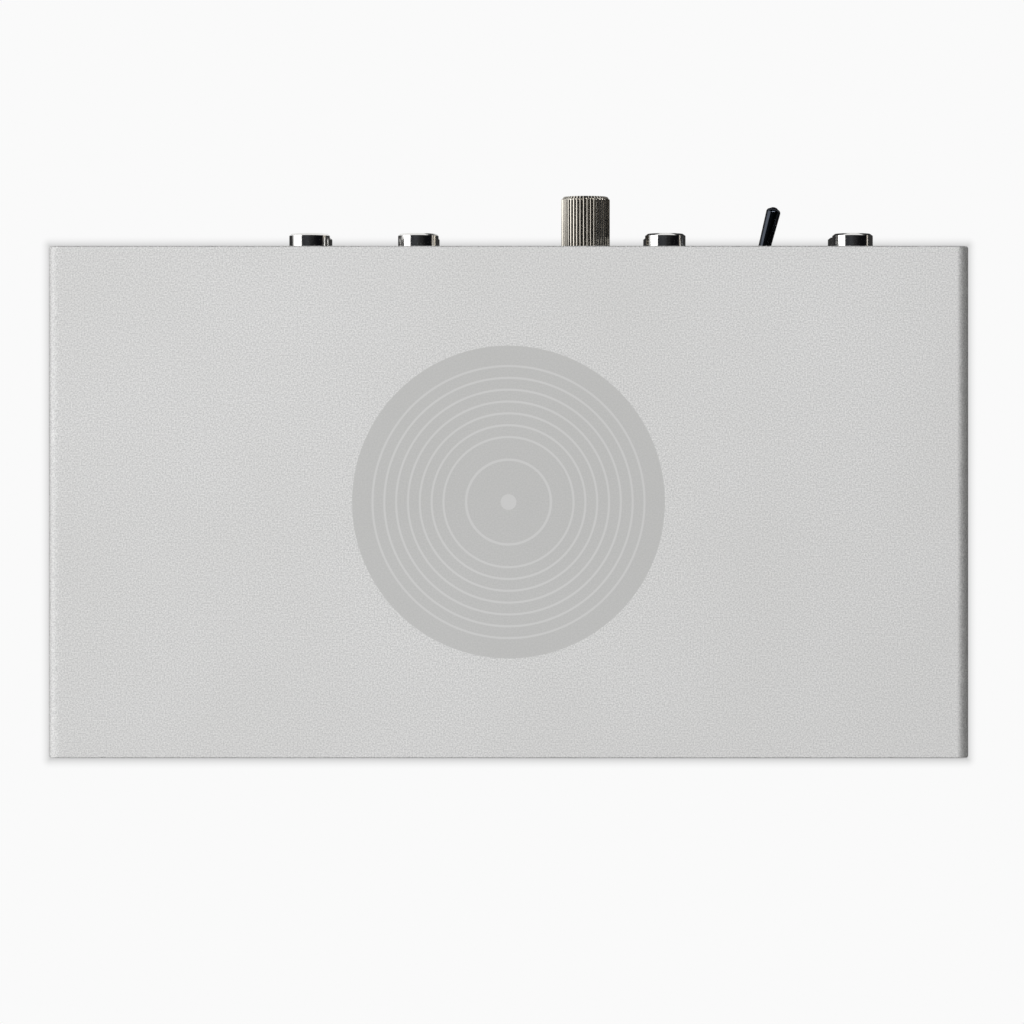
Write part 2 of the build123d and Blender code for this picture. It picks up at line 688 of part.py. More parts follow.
def jack_screws():
    """A small pan-head screw through the panel into each housing."""
    screws = []
    for x in socket_x_places():
        head_end = rear_outer_y + JACK_SCREW_HEAD_HEIGHT
        head = rod_y(JACK_SCREW_HEAD_RADIUS, x, rear_axis_z, rear_outer_y, head_end)
        head = fillet(head.faces().sort_by(Axis.Y)[-1].edges(), JACK_SCREW_HEAD_HEIGHT / 3)
        tip_y = rear_outer_y - JACK_SCREW_LENGTH
        screw = head + rod_y(JACK_SCREW_RADIUS, x, rear_axis_z, tip_y, rear_outer_y)
        screws.append(screw - hex_y(HEX_KEY_WIDTH, x, rear_axis_z, head_end - HEX_KEY_DEPTH, head_end))
    return screws


# ---------------------------------------------------------------- power inlet

inlet_z = board_top_z + INLET_AXIS_HEIGHT
inlet_floor_y = rear_outer_y - INLET_BORE_DEPTH
inlet_rear_y = rear_inner_y - INLET_DEPTH
inlet_root_radius = INLET_PIN_RADIUS - INLET_PIN_STEP
spring_low_z = inlet_z - INLET_BORE_RADIUS - INLET_SPRING_THICKNESS


def spring_slot(play):
    """The spring contact's leaf, larger by play for its groove in the housing."""
    half = INLET_SPRING_WIDTH / 2 + play
    return block(
        inlet_x - half, inlet_x + half,
        inlet_floor_y - play, inlet_floor_y + INLET_SPRING_LENGTH + play,
        spring_low_z - play, spring_low_z + INLET_SPRING_THICKNESS + play,
    )


def spring_tail(play):
    """The spring contact's leg down to the board, larger by play for its slot."""
    half = INLET_SPRING_WIDTH / 2 + play
    return block(
        inlet_x - half, inlet_x + half,
        inlet_floor_y - play, inlet_floor_y + INLET_SPRING_THICKNESS + play,
        board_top_z - play, spring_low_z + play,
    )


def inlet_housing():
    """The moulded inlet: a block on the board with a round nose through the panel."""
    half = INLET_WIDTH / 2
    body = block(
        inlet_x - half, inlet_x + half, inlet_rear_y, rear_inner_y, board_top_z, board_top_z + INLET_HEIGHT
    )
    body = fillet(body.edges().filter_by(Axis.Y).group_by(Axis.Z)[-1], HOUSING_EDGE_RADIUS)
    body += rod_y(INLET_NOSE_RADIUS, inlet_x, inlet_z, rear_inner_y, rear_outer_y)
    body -= rod_y(INLET_BORE_RADIUS, inlet_x, inlet_z, inlet_floor_y, rear_outer_y + CUT_PAST)
    pin_hole = inlet_root_radius + SEAT_CLEARANCE
    body -= rod_y(pin_hole, inlet_x, inlet_z, inlet_floor_y - INLET_PIN_ROOT, inlet_floor_y + CUT_PAST)
    return body - spring_slot(SEAT_CLEARANCE) - spring_tail(SEAT_CLEARANCE)


def inlet_pin():
    """The centre pin: a thinner root in the housing, and a rounded tip."""
    tip_y = rear_outer_y - INLET_PIN_RECESS
    shoulder_y = inlet_floor_y + SEAT_CLEARANCE
    pin = rod_y(INLET_PIN_RADIUS, inlet_x, inlet_z, shoulder_y, tip_y)
    pin = fillet(pin.faces().sort_by(Axis.Y)[-1].edges(), INLET_PIN_RADIUS / 2)
    return pin + rod_y(inlet_root_radius, inlet_x, inlet_z, inlet_floor_y - INLET_PIN_ROOT, shoulder_y)


def inlet_spring():
    """The leaf that presses on the plug's sleeve, and its leg."""
    return spring_slot(0) + spring_tail(0)


# ---------------------------------------------------------------- toggle switch


def at_pivot(shape, tilt):
    """A shape drawn about the origin with the lever along +Y, put at the switch's pivot."""
    return Pos(toggle_x, pivot_y, rear_axis_z) * Rot(0, 0, tilt) * shape


def toggle_lever():
    """The bat lever: tapered bat, ball, and a bored stem below."""
    straight = LEVER_REACH - LEVER_TIP_RADIUS
    bat = turned_y(
        0, 0, (0, 0), (LEVER_ROOT_RADIUS, 0), (LEVER_TIP_RADIUS, straight), (0, straight)
    )
    bat += Pos(0, straight, 0) * Sphere(LEVER_TIP_RADIUS)
    bat += Sphere(LEVER_BALL_RADIUS)
    bat += rod_y(LEVER_STEM_RADIUS, 0, 0, -LEVER_STEM_LENGTH, 0)
    bore_end = LEVER_STEM_BORE_DEPTH - LEVER_STEM_LENGTH
    bat -= rod_y(LEVER_STEM_BORE_RADIUS, 0, 0, -LEVER_STEM_LENGTH - CUT_PAST, bore_end)
    bat -= Cylinder(PIVOT_PIN_RADIUS + RUNNING_CLEARANCE, 2 * LEVER_BALL_RADIUS + CUT_PAST)
    return at_pivot(bat, -TOGGLE_TILT)


def toggle_plunger():
    """The plastic tip in the lever's stem that pushes on the rocker."""
    radius = LEVER_STEM_BORE_RADIUS - SEAT_CLEARANCE
    low_y = -PLUNGER_REACH + radius
    high_y = -LEVER_STEM_LENGTH + PLUNGER_HEAD_LENGTH / 2
    plunger = rod_y(radius, 0, 0, low_y, high_y) + Pos(0, low_y, 0) * Sphere(radius)
    return at_pivot(plunger, -TOGGLE_TILT)


def toggle_spring():
    """The coil spring between the bore's end and the plunger."""
    low_y = -LEVER_STEM_LENGTH + PLUNGER_HEAD_LENGTH / 2 + SPRING_WIRE_RADIUS
    high_y = LEVER_STEM_BORE_DEPTH - LEVER_STEM_LENGTH - SPRING_WIRE_RADIUS
    coil_radius = LEVER_STEM_BORE_RADIUS - SPRING_WIRE_RADIUS - SEAT_CLEARANCE
    length = high_y - low_y
    path = Helix(length / SPRING_TURNS, length, coil_radius)
    coil = sweep(Plane(path @ 0, z_dir=path % 0) * Circle(SPRING_WIRE_RADIUS), path=path, is_frenet=True)
    return at_pivot(Pos(0, low_y, 0) * Rot(-90, 0, 0) * coil, -TOGGLE_TILT)


def toggle_bushing():
    """The threaded bushing: a plain bore round the ball, and a mouth that opens for the tilt."""
    end_y = rear_outer_y + BUSHING_REACH
    bushing = rod_y(BUSHING_RADIUS, toggle_x, rear_axis_z, switch_front_y, end_y)
    bushing = chamfer(bushing.faces().sort_by(Axis.Y)[-1].edges(), BUSHING_WALL / 2)
    bushing -= rod_y(BUSHING_BORE_RADIUS, toggle_x, rear_axis_z, switch_front_y - CUT_PAST, pivot_y)
    mouth = BUSHING_RADIUS - BUSHING_WALL
    bushing -= turned_y(
        toggle_x, rear_axis_z,
        (0, pivot_y), (BUSHING_BORE_RADIUS, pivot_y), (mouth, end_y), (mouth, end_y + CUT_PAST),
        (0, end_y + CUT_PAST),
    )
    return bushing - at_pivot(Cylinder(PIVOT_PIN_RADIUS + SEAT_CLEARANCE, 2 * BUSHING_RADIUS + CUT_PAST), 0)


def toggle_pivot_pin():
    """The pin through the ball, held in the bushing's wall."""
    return at_pivot(Cylinder(PIVOT_PIN_RADIUS, 2 * (BUSHING_RADIUS - PIVOT_PIN_INSET)), 0)


def toggle_nut():
    """The hexagonal nut on the outside of the panel, with chamfered corners."""
    end_y = rear_outer_y + TOGGLE_NUT_THICKNESS
    nut = hex_y(TOGGLE_NUT_WIDTH, toggle_x, rear_axis_z, rear_outer_y, end_y)
    corner = TOGGLE_NUT_WIDTH / 2
    rim = corner + TOGGLE_NUT_CHAMFER
    nut &= turned_y(
        toggle_x, rear_axis_z, (0, rear_outer_y), (rim + TOGGLE_NUT_CHAMFER, rear_outer_y),
        (rim + TOGGLE_NUT_CHAMFER, end_y - TOGGLE_NUT_CHAMFER), (corner, end_y), (0, end_y),
    )
    hole = BUSHING_RADIUS + SEAT_CLEARANCE
    return nut - rod_y(hole, toggle_x, rear_axis_z, rear_outer_y - CUT_PAST, end_y + CUT_PAST)


def toggle_lock_washer():
    """The washer between the panel and the switch's bracket."""
    hole = BUSHING_RADIUS + SEAT_CLEARANCE
    front_y = rear_inner_y - LOCK_WASHER_THICKNESS
    return tube_y(LOCK_WASHER_RADIUS, hole, toggle_x, rear_axis_z, front_y, rear_inner_y)


def toggle_bracket():
    """The metal bracket: a front plate and two legs down the housing's sides."""
    half = switch_half_width + BRACKET_LEG_THICKNESS
    low_z, high_z = rear_axis_z - SWITCH_HEIGHT / 2, rear_axis_z + SWITCH_HEIGHT / 2
    plate_end = switch_front_y + BRACKET_THICKNESS
    bracket = block(toggle_x - half, toggle_x + half, switch_front_y, plate_end, low_z, high_z)
    for side in SIDES:
        inner_x = toggle_x + side * switch_half_width
        near_x, far_x = sorted((inner_x, toggle_x + side * half))
        leg_y = switch_front_y - BRACKET_LEG_LENGTH
        bracket += block(near_x, far_x, leg_y, switch_front_y, low_z, high_z)
    hole = BUSHING_RADIUS + SEAT_CLEARANCE
    return bracket - rod_y(hole, toggle_x, rear_axis_z, switch_front_y - CUT_PAST, plate_end + CUT_PAST)


def terminal_x_places():
    """The middles of the three terminals."""
    return [toggle_x + step * TERMINAL_SPACING for step in (-1, 0, 1)]


def toggle_housing():
    """The plastic box of the switch, open towards the bracket, with slots for its terminals."""
    half_x, half_z = switch_half_width, SWITCH_HEIGHT / 2
    body = block(
        toggle_x - half_x, toggle_x + half_x, switch_rear_y, switch_front_y,
        rear_axis_z - half_z, rear_axis_z + half_z,
    )
    body -= block(
        toggle_x - half_x + SWITCH_WALL, toggle_x + half_x - SWITCH_WALL,
        switch_floor_y, switch_front_y + CUT_PAST,
        rear_axis_z - half_z + SWITCH_WALL, rear_axis_z + half_z - SWITCH_WALL,
    )
    slot_x = TERMINAL_THICKNESS / 2 + SEAT_CLEARANCE
    slot_z = TERMINAL_WIDTH / 2 + SEAT_CLEARANCE
    for x in terminal_x_places():
        body -= block(
            x - slot_x, x + slot_x, switch_rear_y - CUT_PAST, switch_floor_y + CUT_PAST,
            rear_axis_z - slot_z, rear_axis_z + slot_z,
        )
    return body


def rocker_end_drop():
    """How far an end of the rocker dips below its middle, to the terminals' heads."""
    return TERMINAL_SPACING * sin(radians(ROCKER_TILT)) + ROCKER_THICKNESS / 2 + MOVING_GAP


def toggle_terminals():
    """Three flat terminals: the outer two end in contact heads, the middle one in a fulcrum."""
    terminals = []
    for place, x in enumerate(terminal_x_places()):
        tab = block(
            x - TERMINAL_THICKNESS / 2, x + TERMINAL_THICKNESS / 2, terminal_end_y, switch_floor_y,
            rear_axis_z - TERMINAL_WIDTH / 2, rear_axis_z + TERMINAL_WIDTH / 2,
        )
        middle = place == 1
        drop = ROCKER_THICKNESS / 2 + MOVING_GAP if middle else rocker_end_drop()
        radius = TERMINAL_THICKNESS / 2 if middle else TERMINAL_HEAD_RADIUS
        terminals.append(tab + rod_y(radius, x, rear_axis_z, switch_floor_y, rocker_y - drop))
    return terminals


def toggle_rocker():
    """The contact rocker, tipped away from the lever's side at rest."""
    strip = Box(2 * (TERMINAL_SPACING + ROCKER_OVERHANG), ROCKER_THICKNESS, ROCKER_WIDTH)
    return Pos(toggle_x, rocker_y, rear_axis_z) * Rot(0, 0, ROCKER_TILT) * strip


def toggle_wires():
    """Three wires from the terminals back and down to the board."""
    wires = []
    for x in terminal_x_places():
        start = (x, terminal_end_y, rear_axis_z)
        corner = (x, switch_wire_y, rear_axis_z)
        landing = (x, switch_wire_y, board_top_z)
        wires.append(wire(SWITCH_WIRE_RADIUS, SWITCH_WIRE_BEND, start, corner, landing))
    return wires


# ---------------------------------------------------------------- ground post


def ground_collar():
    """The fixed collar outside the panel, with a neck through it."""
    hole = STUD_RADIUS + SEAT_CLEARANCE
    collar = tube_y(COLLAR_RADIUS, hole, post_x, rear_axis_z, rear_outer_y, collar_end_y)
    return collar + tube_y(COLLAR_NECK_RADIUS, hole, post_x, rear_axis_z, rear_inner_y, rear_outer_y)


def ground_stud():
    """The threaded stud from behind the panel to inside the cap nut."""
    stud = rod_y(STUD_RADIUS, post_x, rear_axis_z, rear_inner_y - STUD_INNER_LENGTH, stud_tip_y)
    return chamfer(stud.edges().filter_by(GeomType.CIRCLE), STUD_RADIUS / 4)


def ground_washer():
    """The loose washer under the cap nut."""
    hole = STUD_RADIUS + RUNNING_CLEARANCE
    washer_end = washer_y + POST_WASHER_THICKNESS
    return tube_y(POST_WASHER_RADIUS, hole, post_x, rear_axis_z, washer_y, washer_end)


def knurled_bar(length):
    """A bar with straight V grooves all round, standing on the XY plane."""
    step = 2 * pi / KNURL_COUNT
    outline = []
    for ridge in range(KNURL_COUNT):
        for part, radius in ((0, POST_NUT_RADIUS), (0.5, POST_NUT_RADIUS - KNURL_DEPTH)):
            angle = (ridge + part) * step
            outline.append((radius * cos(angle), radius * sin(angle)))
    return extrude(make_face(Polyline(*outline, close=True)), length)


def ground_nut():
    """The knurled cap nut: a plain foot, straight knurling and a blind threaded hole."""
    start_y = nut_foot_y + POST_NUT_FOOT_LENGTH
    bar = Pos(post_x, nut_tip_y, rear_axis_z) * Rot(90, 0, 0) * knurled_bar(nut_tip_y - start_y)
    outer = rod_y(POST_NUT_RADIUS + KNURL_DEPTH, post_x, rear_axis_z, nut_foot_y, nut_tip_y)
    nut = bar & fillet(outer.faces().sort_by(Axis.Y)[-1].edges(), POST_NUT_CORNER + KNURL_DEPTH)
    nut += rod_y(POST_NUT_FOOT_RADIUS, post_x, rear_axis_z, nut_foot_y, start_y)
    bore_end = nut_tip_y - POST_NUT_CAP
    hole = STUD_RADIUS + RUNNING_CLEARANCE
    return nut - rod_y(hole, post_x, rear_axis_z, nut_foot_y - CUT_PAST, bore_end)


def ground_lug():
    """The ring terminal behind the panel, with its tail and crimp barrel."""
    hole = STUD_RADIUS + SEAT_CLEARANCE
    lug = rod_y(LUG_RADIUS, post_x, rear_axis_z, lug_y, rear_inner_y)
    half = LUG_TAIL_WIDTH / 2
    tail_z = rear_axis_z - LUG_TAIL_LENGTH
    lug += block(post_x - half, post_x + half, lug_y, rear_inner_y, tail_z, rear_axis_z)
    crimp_y = rear_inner_y - CRIMP_RADIUS
    lug += rod_z(CRIMP_RADIUS, post_x, crimp_y, tail_z - CRIMP_LENGTH, tail_z)
    bore = GROUND_WIRE_RADIUS + SEAT_CLEARANCE
    lug -= rod_z(bore, post_x, crimp_y, tail_z - CRIMP_LENGTH - CUT_PAST, tail_z - CRIMP_LENGTH / 4)
    return lug - rod_y(hole, post_x, rear_axis_z, lug_y - CUT_PAST, rear_inner_y + CUT_PAST)


def ground_lock_washer():
    """The lock washer between the lug and the hex nut."""
    hole = STUD_RADIUS + SEAT_CLEARANCE
    return tube_y(POST_LOCK_WASHER_RADIUS, hole, post_x, rear_axis_z, hex_nut_rear_y, lug_y)


def ground_hex_nut():
    """The nut that pulls the post tight from inside the case."""
    front_y = hex_nut_rear_y - HEX_NUT_THICKNESS
    nut = hex_y(HEX_NUT_WIDTH, post_x, rear_axis_z, front_y, hex_nut_rear_y)
    hole = STUD_RADIUS + SEAT_CLEARANCE
    return nut - rod_y(hole, post_x, rear_axis_z, front_y - CUT_PAST, hex_nut_rear_y + CUT_PAST)


def ground_wire():
    """The wire from the lug's crimp down, forward and down to the board."""
    crimp_y = rear_inner_y - CRIMP_RADIUS
    top_z = rear_axis_z - LUG_TAIL_LENGTH - CRIMP_LENGTH / 4
    run_z = board_top_z + GROUND_WIRE_HEIGHT
    end_y = crimp_y - GROUND_WIRE_RUN
    return wire(
        GROUND_WIRE_RADIUS, GROUND_WIRE_BEND,
        (post_x, crimp_y, top_z), (post_x, crimp_y, run_z), (post_x, end_y, run_z),
        (post_x, end_y, board_top_z),
    )


# ---------------------------------------------------------------- indicator light

led_z = board_top_z + LED_AXIS_HEIGHT


def status_led():
    """The light's round lens, from its holder to the front panel's face."""
    tip_y = front_outer_y - LED_STANDOUT
    lens = rod_y(LED_RADIUS, LED_X, led_z, tip_y, board_front_y + LED_HOLDER_DEPTH / 2)
    return fillet(lens.faces().sort_by(Axis.Y)[0].edges(), LED_RADIUS / 2)


def led_holder():
    """The block on the board that holds the light."""
    half = LED_HOLDER_WIDTH / 2
    holder = block(
        LED_X - half, LED_X + half, board_front_y, board_front_y + LED_HOLDER_DEPTH,
        board_top_z, board_top_z + LED_HOLDER_HEIGHT,
    )
    hole = LED_RADIUS + SEAT_CLEARANCE
    return holder - rod_y(
        hole, LED_X, led_z, board_front_y - CUT_PAST, board_front_y + LED_HOLDER_DEPTH / 2
    )


# ---------------------------------------------------------------- parts on the board


def can_capacitor(x, y, radius, height):
    """An electrolytic capacitor: a can with a crimp near its base and a raised rim."""
    crimp_z = board_top_z + CAP_CRIMP_HEIGHT
    top_z = board_top_z + height
    waist = radius - CAP_CRIMP_DEPTH
    rim = radius - CAP_RIM
    return turned_z(
        x, y, (0, board_top_z), (radius, board_top_z), (radius, crimp_z), (waist, crimp_z + CAP_RIM),
        (radius, crimp_z + 2 * CAP_RIM), (radius, top_z - CAP_RIM), (rim, top_z),
        (rim - CAP_RIM, top_z - CAP_CRIMP_DEPTH), (0, top_z - CAP_CRIMP_DEPTH),
    )


def row(count, pitch, first):
    """Evenly spaced places from the first one on."""
    return [first + place * pitch for place in range(count)]


reservoir_x = -board_half_width + RESERVOIR_LEFT
fin_tip_x = reservoir_x + RESERVOIR_RADIUS + HEAT_SINK_GAP
regulator_x = fin_tip_x + HEAT_SINK_FIN_LENGTH + HEAT_SINK_BASE
signal_x = regulator_x + SIGNAL_FROM_REGULATORS
signal_end_x = board_half_width - SIGNAL_RIGHT
signal_front_y = board_front_y + SIGNAL_FRONT
signal_rear_y = switch_wire_y - SIGNAL_WIRE_GAP


def signal_row_x(pitch):
    """Places across the signal area, as many as its width holds."""
    return row(int((signal_end_x - signal_x) / pitch) + 1, pitch, signal_x)


def signal_row_y(place):
    """The middle of one of the signal area's rows, from 0 at the front."""
    return signal_front_y + place * (signal_rear_y - signal_front_y) / (SIGNAL_ROWS - 1)


def reservoir_capacitors():
    """The supply's large capacitors, one behind the other."""
    places = row(RESERVOIR_COUNT, RESERVOIR_PITCH, board_front_y + RESERVOIR_FRONT)
    return [can_capacitor(reservoir_x, y, RESERVOIR_RADIUS, RESERVOIR_HEIGHT) for y in places]


def signal_capacitors():
    """The signal area's front row: small capacitors."""
    places = signal_row_x(SIGNAL_CAP_PITCH)
    return [can_capacitor(x, signal_row_y(0), SIGNAL_CAP_RADIUS, SIGNAL_CAP_HEIGHT) for x in places]


def regulator_y_places():
    """The two regulators, one behind the other."""
    return row(2, REGULATOR_PITCH, board_front_y + REGULATOR_FRONT)


def regulators():
    """Upright regulators: moulded body, metal tab and three legs."""
    parts = []
    x = regulator_x
    low_z = board_top_z + REGULATOR_LEG_HEIGHT
    top_z = low_z + REGULATOR_HEIGHT
    half = REGULATOR_WIDTH / 2
    half_leg = REGULATOR_LEG_WIDTH / 2
    middle = x + REGULATOR_DEPTH / 2
    tab_top_z = top_z + REGULATOR_TAB_HEIGHT
    for y in regulator_y_places():
        part = block(x, x + REGULATOR_DEPTH, y - half, y + half, low_z, top_z)
        part += block(x, x + REGULATOR_TAB_THICKNESS, y - half, y + half, low_z, tab_top_z)
        for step in (-1, 0, 1):
            leg_y = y + step * REGULATOR_LEG_PITCH
            part += block(
                middle - half_leg, middle + half_leg, leg_y - half_leg, leg_y + half_leg, board_top_z, low_z
            )
        parts.append(part)
    return parts


def heat_sinks():
    """Finned heat sinks against the regulators' tabs."""
    sinks = []
    top_z = board_top_z + HEAT_SINK_HEIGHT
    half = HEAT_SINK_WIDTH / 2
    base_x = fin_tip_x + HEAT_SINK_FIN_LENGTH
    fin_pitch = (HEAT_SINK_WIDTH - HEAT_SINK_FIN_THICKNESS) / (HEAT_SINK_FIN_COUNT - 1)
    for y in regulator_y_places():
        sink = block(base_x, regulator_x, y - half, y + half, board_top_z, top_z)
        for fin_y in row(HEAT_SINK_FIN_COUNT, fin_pitch, y - half):
            sink += block(
                fin_tip_x, base_x, fin_y, fin_y + HEAT_SINK_FIN_THICKNESS, board_top_z, top_z,
            )
        sinks.append(sink)
    return sinks


def op_amps():
    """The third row: small eight-legged packages."""
    parts = []
    y = signal_row_y(2)
    low_z = board_top_z + OP_AMP_LIFT
    half_leg = OP_AMP_LEG_WIDTH / 2
    leg_reach = OP_AMP_WIDTH / 2 + OP_AMP_LEG_WIDTH
    half_x, half_y = OP_AMP_LENGTH / 2, OP_AMP_WIDTH / 2
    for x in signal_row_x(OP_AMP_PITCH):
        part = block(x - half_x, x + half_x, y - half_y, y + half_y, low_z, low_z + OP_AMP_HEIGHT)
        first = x - OP_AMP_LEG_PITCH * (OP_AMP_LEG_COUNT - 1) / 2
        for leg_x in row(OP_AMP_LEG_COUNT, OP_AMP_LEG_PITCH, first):
            part += block(
                leg_x - half_leg, leg_x + half_leg, y - leg_reach, y + leg_reach,
                board_top_z, low_z + OP_AMP_HEIGHT / 2,
            )
        parts.append(part)
    return parts


def film_capacitors():
    """The second row: boxed film capacitors."""
    parts = []
    y = signal_row_y(1)
    top_z = board_top_z + FILM_CAP_HEIGHT
    half_x, half_y = FILM_CAP_WIDTH / 2, FILM_CAP_LENGTH / 2
    for x in signal_row_x(FILM_CAP_PITCH):
        box = block(x - half_x, x + half_x, y - half_y, y + half_y, board_top_z, top_z)
        parts.append(fillet(box.edges().group_by(Axis.Z)[-1], FILM_CAP_EDGE_RADIUS))
    return parts


def resistor(x, y):
    """An axial resistor, front to rear, with its leads bent down to the board."""
    z = board_top_z + RESISTOR_RADIUS
    half = RESISTOR_LENGTH / 2
    reach = half + RESISTOR_LEAD_LENGTH
    part = rod_y(RESISTOR_RADIUS, x, z, y - half, y + half)
    part += rod_y(RESISTOR_LEAD_RADIUS, x, z, y - reach, y + reach)
    for end in SIDES:
        part += rod_z(RESISTOR_LEAD_RADIUS, x, y + end * reach, board_top_z, z)
        part += Pos(x, y + end * reach, z) * Sphere(RESISTOR_LEAD_RADIUS)
    return part


def resistors():
    """The last row: axial resistors."""
    return [resistor(x, signal_row_y(3)) for x in signal_row_x(RESISTOR_PITCH)]


# ---------------------------------------------------------------- writing the pieces


def case_nodes():
    """The case, its fasteners and its feet."""
    nodes = {
        "top_cover": top_cover(),
        "base_tray": base_tray(),
        "cover_screws": cover_screws(),
        "cover_nuts": cover_nuts(),
        "foot_screws": foot_screws(),
    }
    for name, (x, y) in foot_spots().items():
        nodes[name] = foot(x, y)
    return nodes


def board_nodes():
    """The circuit board and what is on it."""
    return {
        "circuit_board": circuit_board(),
        "board_standoffs": board_standoffs(),
        "board_screws": board_screws(),
        "status_led": status_led(),
        "led_holder": led_holder(),
        "reservoir_capacitors": reservoir_capacitors(),
        "signal_capacitors": signal_capacitors(),
        "film_capacitors": film_capacitors(),
        "op_amps": op_amps(),
        "resistors": resistors(),
        "regulators": regulators(),
        "heat_sinks": heat_sinks(),
    }


def socket_nodes():
    """The stacked phono sockets and the power inlet."""
    nodes = {
        "red_insulators": insulators(low_socket_z),
        "white_insulators": insulators(high_socket_z),
        "jack_screws": jack_screws(),
        "inlet_housing": inlet_housing(),
        "inlet_pin": inlet_pin(),
        "inlet_spring": inlet_spring(),
    }
    names = ("output_1", "output_2", "input_1", "input_2")
    for name, x in zip(names, socket_x_places()):
        nodes[name + "_housing"] = jack_housing(x)
        nodes[name + "_shells"] = jack_shells(x)
        nodes[name + "_contacts"] = jack_contacts(x)
    return nodes


def switch_nodes():
    """The toggle switch."""
    return {
        "toggle_lever": toggle_lever(),
        "toggle_plunger": toggle_plunger(),
        "toggle_spring": toggle_spring(),
        "toggle_bushing": toggle_bushing(),
        "toggle_pivot_pin": toggle_pivot_pin(),
        "toggle_nut": toggle_nut(),
        "toggle_lock_washer": toggle_lock_washer(),
        "toggle_bracket": toggle_bracket(),
        "toggle_housing": toggle_housing(),
        "toggle_terminals": toggle_terminals(),
        "toggle_rocker": toggle_rocker(),
        "toggle_wires": toggle_wires(),
    }


def post_nodes():
    """The ground post and its wire."""
    return {
        "ground_collar": ground_collar(),
        "ground_stud": ground_stud(),
        "ground_washer": ground_washer(),
        "ground_nut": ground_nut(),
        "ground_lug": ground_lug(),
        "ground_lock_washer": ground_lock_washer(),
        "ground_hex_nut": ground_hex_nut(),
        "ground_wire": ground_wire(),
    }


def write(name, shape):
    """Write one node, shifted so that the origin lies under the middle of the whole object."""
    items = shape if isinstance(shape, list) else [shape]
    pieces = [Pos(0, case_shift_y, 0) * solid for item in items for solid in item.solids()]
    whole = Compound(pieces) if len(pieces) > 1 else pieces[0]
    export_step(whole, f"parts/{name}.step")


def main():
    """Build every node and write it."""
    os.makedirs("parts", exist_ok=True)
    groups = (case_nodes(), board_nodes(), socket_nodes(), switch_nodes(), post_nodes())
    for nodes in groups:
        for name, shape in nodes.items():
            write(name, shape)
    print("nodes:", sum(len(nodes) for nodes in groups))
    print("case middle at y", round(case_shift_y, 3))


main()
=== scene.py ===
# %% [markdown]
# # A phono preamplifier, cell by cell
#
# This small metal box takes the weak signal of a record player's cartridge and makes it strong enough
# for an amplifier. It is a folded aluminium cover over a black steel tray, with phono sockets, a ground
# post and a toggle switch at the rear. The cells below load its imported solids, build the pieces that
# are seen, give every surface a finish, and light the whole for a plain studio view.

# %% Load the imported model
import json
from math import cos, pi, radians, sin

import bmesh
import bpy
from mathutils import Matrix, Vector


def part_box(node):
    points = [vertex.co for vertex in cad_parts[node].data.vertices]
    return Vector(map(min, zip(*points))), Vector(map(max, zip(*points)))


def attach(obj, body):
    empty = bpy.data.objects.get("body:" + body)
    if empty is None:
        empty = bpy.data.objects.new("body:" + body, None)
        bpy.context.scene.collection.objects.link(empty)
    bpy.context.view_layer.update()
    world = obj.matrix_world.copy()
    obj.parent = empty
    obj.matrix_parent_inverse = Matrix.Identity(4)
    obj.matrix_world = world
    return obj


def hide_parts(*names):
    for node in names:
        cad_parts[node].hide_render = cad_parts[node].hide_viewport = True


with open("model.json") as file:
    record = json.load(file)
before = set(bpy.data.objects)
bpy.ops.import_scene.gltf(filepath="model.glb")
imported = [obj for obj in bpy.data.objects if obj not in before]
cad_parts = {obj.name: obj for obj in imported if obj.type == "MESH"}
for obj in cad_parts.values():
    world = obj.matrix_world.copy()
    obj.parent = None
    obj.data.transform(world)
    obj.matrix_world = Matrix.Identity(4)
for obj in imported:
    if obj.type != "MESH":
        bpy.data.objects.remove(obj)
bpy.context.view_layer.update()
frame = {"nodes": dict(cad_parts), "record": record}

MM = 0.001
NODES = frame["nodes"]

# %% [markdown]
# ## Measures from the solids
#
# Every piece has to sit where its solid sits, so nothing is placed by eye. A solid's box gives its two
# opposite corners, and from those come the middles of the sockets, the post and the switch.

# %% Places of the main parts


def middle(node):
    """The middle of a solid's box."""
    low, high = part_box(node)
    return (Vector(low) + Vector(high)) / 2


def bottom(node):
    """The lowest corner of a solid's box."""
    return Vector(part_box(node)[0])


def top(node):
    """The highest corner of a solid's box."""
    return Vector(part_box(node)[1])


def past_panel(node):
    """Where a solid starts and ends along y, in millimetres past the rear panel's face."""
    return [(corner.y - PANEL_Y) / MM for corner in (bottom(node), top(node))]


SOCKET_NAMES = ("output_1", "output_2", "input_1", "input_2")
PANEL_Y = top("base_tray").y
COVER_LOW, COVER_HIGH = bottom("top_cover"), top("top_cover")
COVER_SIZE = COVER_HIGH - COVER_LOW
CASE_MIDDLE = middle("top_cover")
LOWER_Z = middle("red_insulators").z
UPPER_Z = middle("white_insulators").z
AXIS_Z = (LOWER_Z + UPPER_Z) / 2
SOCKET_X = [middle(name + "_housing").x for name in SOCKET_NAMES]
POST_X = middle("ground_nut").x
TOGGLE_X = middle("toggle_bushing").x
print("panel at y", round(PANEL_Y, 5), "socket axes at z", round(LOWER_Z, 5), round(UPPER_Z, 5))

# %% [markdown]
# ## Camera
#
# The view is straight down from a metre above the cover. A long lens at that distance keeps the sides
# of the box almost out of sight, yet the lower sockets still peep out beside the upper ones. The lens
# follows from the width of the frame at the cover's face.

# %% Camera
SENSOR_MM = 36.0
CAMERA_ABOVE_COVER = 1.0
FRAME_WIDTH = 207.8 * MM
AXIS_OFFSET = Vector((0.71 * MM, -2.02 * MM))


def linked(name, data):
    """A new object in the scene."""
    thing = bpy.data.objects.new(name, data)
    bpy.context.scene.collection.objects.link(thing)
    return thing


